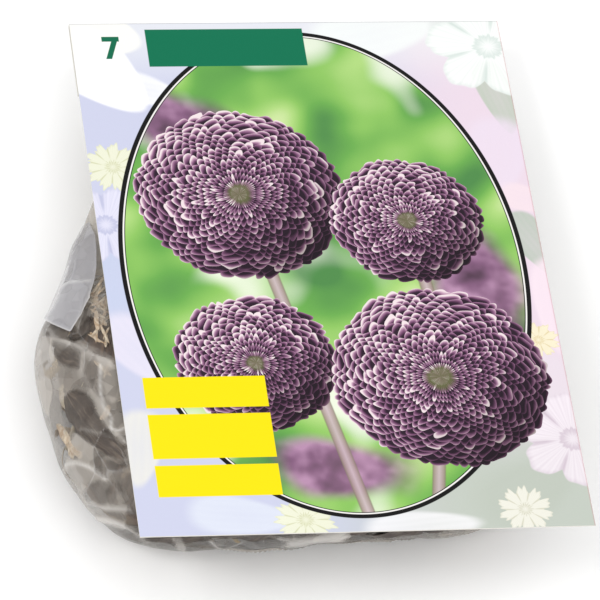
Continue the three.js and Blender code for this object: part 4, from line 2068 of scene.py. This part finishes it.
@dataclass
class NearFilm:
    """The torn sheets and small curls that are pressed against the inside of the film."""

    room: BagRoom = field(default_factory=BagRoom)
    rows: int = 30
    columns: int = 14
    thick: float = 0.14
    card_gap: float = 1.2
    bulb_gap: float = 0.3
    curls: int = 30
    low_curls: int = 5
    seed: int = 11

    def small_curls(self) -> list[Scrap]:
        """Thin wood curls beside the card's left edge, and a few further down.

        Returns:
            The curls, as scraps.
        """
        chance = np.random.default_rng(self.seed)
        middles = [(chance.uniform(106, 131), chance.uniform(1.5, 8.5)) for _ in range(self.curls)]
        middles += [(chance.uniform(141, 155), chance.uniform(2, 8)) for _ in range(self.low_curls)]
        return [
            Scrap(along, wrap, chance.uniform(3.5, 9), chance.uniform(0.7, 1.7), chance.normal(0, 34),
                  chance.uniform(0.7, 2.2), 0.2, 0.25)
            for along, wrap in middles
        ]

    def _torn(self, scrap: Scrap | EndSheet, seed: float) -> tuple[Array, Array, Array]:
        """A torn sheet's grid, laid flat.

        Args:
            scrap: the sheet.
            seed: what its torn edges are drawn from.

        Returns:
            How far its points are from its middle lengthwise and sideways, and how near each is to its middle
            line: 1 on it, less towards its edges.
        """
        lengthwise = np.linspace(-1, 1, self.rows)[:, None]
        sideways = np.linspace(-1, 1, self.columns)[None, :]
        torn = np.array([
            [
                noise.noise(Vector((row * 2.6, side, seed))) + 0.45 * noise.noise(Vector((row * 8, side, seed)))
                for side in (0.0, 9.0)
            ]
            for row in lengthwise[:, 0]
        ])
        taper = (1 - np.abs(lengthwise) ** 2.6) ** 0.5
        reach = taper * (1 + scrap.ragged * np.where(sideways < 0, torn[:, :1], torn[:, 1:]))
        ends = np.array([noise.noise(Vector((side * 2.4, 5, seed))) for side in sideways[0]])[None, :]
        a = lengthwise * (1 + 0.5 * scrap.ragged * ends) * scrap.long / 2
        b = sideways * reach * scrap.wide / 2
        return a, b, 1 - (sideways * taper) ** 2

    def _sheet(self, scrap: Scrap, number: int) -> Array:
        """One scrap in its place on the left side.

        Args:
            scrap: the scrap.
            number: its number, for its own random edges.

        Returns:
            Its grid of points, in the frame.
        """
        seed = number * 5.7 + scrap.along
        a, b, middle = self._torn(scrap, seed)
        turn = math.radians(scrap.heading)
        along = scrap.along + a * math.cos(turn) - b * math.sin(turn)
        wrap = scrap.wrap + a * math.sin(turn) + b * math.cos(turn)
        waves = np.sin(a * 0.5 + seed) * 0.25 + np.sin(b * 1.1 + seed) * 0.2
        lift = -scrap.under - 0.4 + waves - scrap.curl * (1 - middle) * 0.8
        points = self.room.on_left(along, wrap, lift, self.room.plane.thick + self.card_gap)
        return outside_bulbs(points, self.bulb_gap)[0]

    def _end_sheet(self, sheet: EndSheet) -> Array:
        """One dark skin, which also stands in for shade, in its place in the bag's lower end.

        Args:
            sheet: the skin.

        Returns:
            Its grid of points, in the frame.
        """
        a, b, middle_line = self._torn(sheet, sheet.x)
        heading = math.radians(sheet.heading)
        x = sheet.x + a * math.cos(heading) - b * math.sin(heading)
        turn = (sheet.round_it + a * math.sin(heading) + b * math.cos(heading)) / self.room.round_radius
        waves = np.sin(a * 0.45 + sheet.x) * 0.35 + np.sin(b * 0.9 + sheet.x) * 0.25
        under = sheet.under + 0.5 - waves + (1 - middle_line) * 0.9
        along = self.room.round_start + (self.room.round_radius - under) * np.sin(turn)
        side = sheet.under + 1.5
        left, right = np.array(self.room.left_side[-4:]).T, np.array(self.room.right_side[-6:]).T
        along = np.minimum(along, np.interp(x - side, left[1], left[0]))
        along = np.minimum(along, np.interp(x + side, right[1][::-1], right[0][::-1]))
        centre, reach, middle, _ = self.room.section(along, sheet.under)
        half = self.room.section(np.minimum(along, self.room.round_start), sheet.under)[3] + sheet.under - under
        side = np.maximum(half * np.abs(np.cos(turn)), 1) * self.room.side_roundness
        over = np.clip((np.abs(x - centre) - reach) / side + 1, 0, 0.98)
        depth = middle + half * np.cos(turn) * np.sqrt(1 - over ** 2)
        return outside_bulbs(self.room.plane.points(x, along, depth), self.bulb_gap)[0]

    def build(
        self, name: str, scraps: Sequence[Scrap | EndSheet], material: Material, slot: Slot
    ) -> Piece:
        """Makes one piece of all the scraps of one finish.

        Args:
            name: the piece's name.
            scraps: the scraps.
            material: their finish.
            slot: the slot that the finish belongs to.

        Returns:
            The piece.
        """
        grids = [
            self._end_sheet(scrap) if isinstance(scrap, EndSheet) else self._sheet(scrap, number)
            for number, scrap in enumerate(scraps)
        ]
        piece = make_piece(name, *join_grids(grids), material, slot)
        layer = piece.data.uv_layers.new(name="skin")
        for loop in piece.data.loops:
            own, rest = divmod(loop.vertex_index, self.rows * self.columns)
            row, column = divmod(rest, self.columns)
            layer.data[loop.index].uv = (own + 0.05 + 0.9 * column / self.columns, row / self.rows + own * 0.37)
        thicken(piece, self.thick)
        return piece


@dataclass
class Shavings:
    """Curls of shaved wood, packed between the bulbs and the film."""

    room: BagRoom = field(default_factory=BagRoom)
    count: int = 560
    near_edge: int = 46
    steps: int = 16
    thick: float = 0.16
    seed: int = 5
    gap: float = 1.4
    bulb_gap: float = 0.2
    least_room: float = 1.5
    stand_ins: int = 28
    spread: Line = ((-22, 152), (58, 190))
    edge_spread: Line = ((-9, 5), (100, 132))

    def _curl(self, chance: np.random.Generator) -> Array:
        """One curl's ribbon about its own middle.

        Args:
            chance: the random draw.

        Returns:
            Pairs of points along it, in millimetres.
        """
        radius = chance.uniform(3.5, 16.0)
        turns = min(chance.uniform(7, 26) / (2 * math.pi * radius), 0.9)
        wide = chance.uniform(0.8, 3.4)
        climb = chance.uniform(0, 3)
        angle = np.linspace(0, 2 * math.pi * turns, self.steps)
        spiral = radius * (0.7 + 0.3 * angle / angle[-1])
        taper = np.sin(np.linspace(0.2, math.pi - 0.2, self.steps)) ** 0.5 * wide / 2
        lean = np.linspace(-climb, climb, self.steps)
        ragged = chance.normal(0, 0.12 * wide, (self.steps, 2))
        pairs = [
            np.stack([spiral * np.cos(angle), spiral * np.sin(angle), lean + side * taper + ragged[:, i]], axis=-1)
            for i, side in enumerate((-1, 1))
        ]
        ribbon = np.stack(pairs, axis=1)
        return ribbon - ribbon.mean(axis=(0, 1))

    def _turned(self, ribbon: Array, chance: np.random.Generator) -> Array:
        """A ribbon turned at random.

        Args:
            ribbon: its points, in millimetres.
            chance: the random draw.

        Returns:
            The turned points, in metres.
        """
        spin = Vector(chance.normal(size=3)).to_track_quat("Z", "Y").to_matrix()
        spin = spin @ Matrix.Rotation(chance.uniform(0, 2 * math.pi), 3, "Z")
        return ribbon @ np.array(spin).T * MM

    def build(self) -> Piece:
        """Makes the curls, in place of the CAD's.

        Returns:
            The piece.
        """
        chance = np.random.default_rng(self.seed)
        ribbons = []
        while len(ribbons) < self.count:
            ribbon = self._turned(self._curl(chance), chance)
            x, along = (chance.uniform(*ends) for ends in self.spread)
            if len(ribbons) < self.near_edge:
                x, along = (chance.uniform(*ends) for ends in self.edge_spread)
            _, _, middle, half = self.room.section(np.array(along), self.gap)
            if half < self.least_room:
                continue
            depth = middle + half * chance.uniform(-1, 1)
            moved = ribbon + self.room.plane.points(x, along, depth)
            if not self.room.holds(moved, self.gap).all():
                continue
            if outside_bulbs(moved, self.bulb_gap)[1].min() < self.bulb_gap:
                continue
            ribbons.append(moved)
        nodes = [f"shaving_{i + 1}" for i in range(self.stand_ins)]
        piece = make_piece("shaving_curls", *join_grids(ribbons), ShavingWood().material(), Slot.WOOD, nodes)
        layer = piece.data.uv_layers.new(name="curl")
        for loop in piece.data.loops:
            own, rest = divmod(loop.vertex_index, self.steps * 2)
            layer.data[loop.index].uv = (own + 0.05 + 0.9 * (rest // 2) / self.steps, rest % 2)
        thicken(piece, self.thick)
        return piece


@dataclass
class Studio:
    """The plain floor, the soft lights and the camera."""

    lens: float = 342.44
    eye: Triple = (-0.366433, -0.888071, 1.647789)
    forward: Triple = (0.19555672, 0.4692229, -0.86115471)
    right: Triple = (0.98054985, -0.10852392, 0.16353763)
    floor_reach: float = 8.0
    sky: float = 0.92

    def _floor(self) -> None:
        """The floor that the packet lies on."""
        mesh = bpy.data.meshes.new("floor")
        size = self.floor_reach
        corners = [(x * size, y * size, 0) for x, y in ((-1, -1), (1, -1), (1, 1), (-1, 1))]
        mesh.from_pydata(corners, [], [(0, 1, 2, 3)])
        mesh.materials.append(FloorPaint().material())
        show(bpy.data.objects.new("floor", mesh))

    def _lamp(self, name: str, at: Sequence[float], size: float, power: float) -> None:
        """One soft square lamp that is aimed at the packet.

        Args:
            name: the lamp's name.
            at: its place, in metres.
            size: its side, in metres.
            power: its power, in watts.
        """
        light = bpy.data.lights.new(name, "AREA")
        light.shape = "SQUARE"
        light.size = size
        light.energy = power
        lamp = show(bpy.data.objects.new(name, light))
        lamp.location = at
        lamp.rotation_euler = (-Vector(at)).to_track_quat("-Z", "Y").to_euler()

    def _camera(self) -> None:
        """The camera, at the photograph's viewing angle."""
        data = bpy.data.cameras.new("camera")
        data.sensor_width = 36.0
        data.lens = self.lens
        data.clip_end = 100.0
        camera = show(bpy.data.objects.new("camera", data))
        forward, right = Vector(self.forward), Vector(self.right)
        axes = Matrix((right, right.cross(forward), -forward)).transposed().to_4x4()
        camera.matrix_world = Matrix.Translation(self.eye) @ axes
        bpy.context.scene.camera = camera

    def build(self) -> None:
        """Makes the studio."""
        self._floor()
        self._lamp("key", (-1.1, -0.35, 1.7), 0.6, 10.5)
        self._lamp("fill", (0.5, -0.6, 2.3), 2.4, 12.5)
        world = bpy.data.worlds.new("studio")
        world.use_nodes = True
        colour, strength = world.node_tree.nodes["Background"].inputs[:2]
        colour.default_value, strength.default_value = (1.0, 1.0, 1.0, 1.0), self.sky
        bpy.context.scene.world = world
        bpy.context.scene.view_settings.view_transform = "Standard"
        self._camera()


def main() -> None:
    """Builds the packet, piece by piece."""
    logging.basicConfig(level=logging.INFO, format="%(message)s")
    Studio().build()
    PrintedCard().build()
    bag = FilmBag()
    bag.build(ClearFilm().material())
    bag.build_fold(ClearFilm("slack_film", "abaaae", "908e92", 0.5, 0.84, 0.12).material())
    scraps = NearFilm()
    # Dark sheets that are partly loose bulb skin and partly painted shade inside the bag.
    scraps.build("dark_skins_and_shade", (*DARK_SCRAPS, *END_SHADE_SHEETS), LooseSkinAndShade().material(), Slot.SKIN)
    torn = TornSkin().material()
    scraps.build("pale_scraps", (*CREAM_SCRAPS, *scraps.small_curls()), torn, Slot.WOOD)
    skin = BulbSkin().material()
    for place in BULBS:
        BulbBody(place).build(skin)
    Shavings().build()
    glue = DriedGlue().material()
    for name in ("glue_strip_front", "glue_strip_back"):
        frame["nodes"][name].data.materials.clear()
        frame["nodes"][name].data.materials.append(glue)


if __name__ == "__main__":
    main()
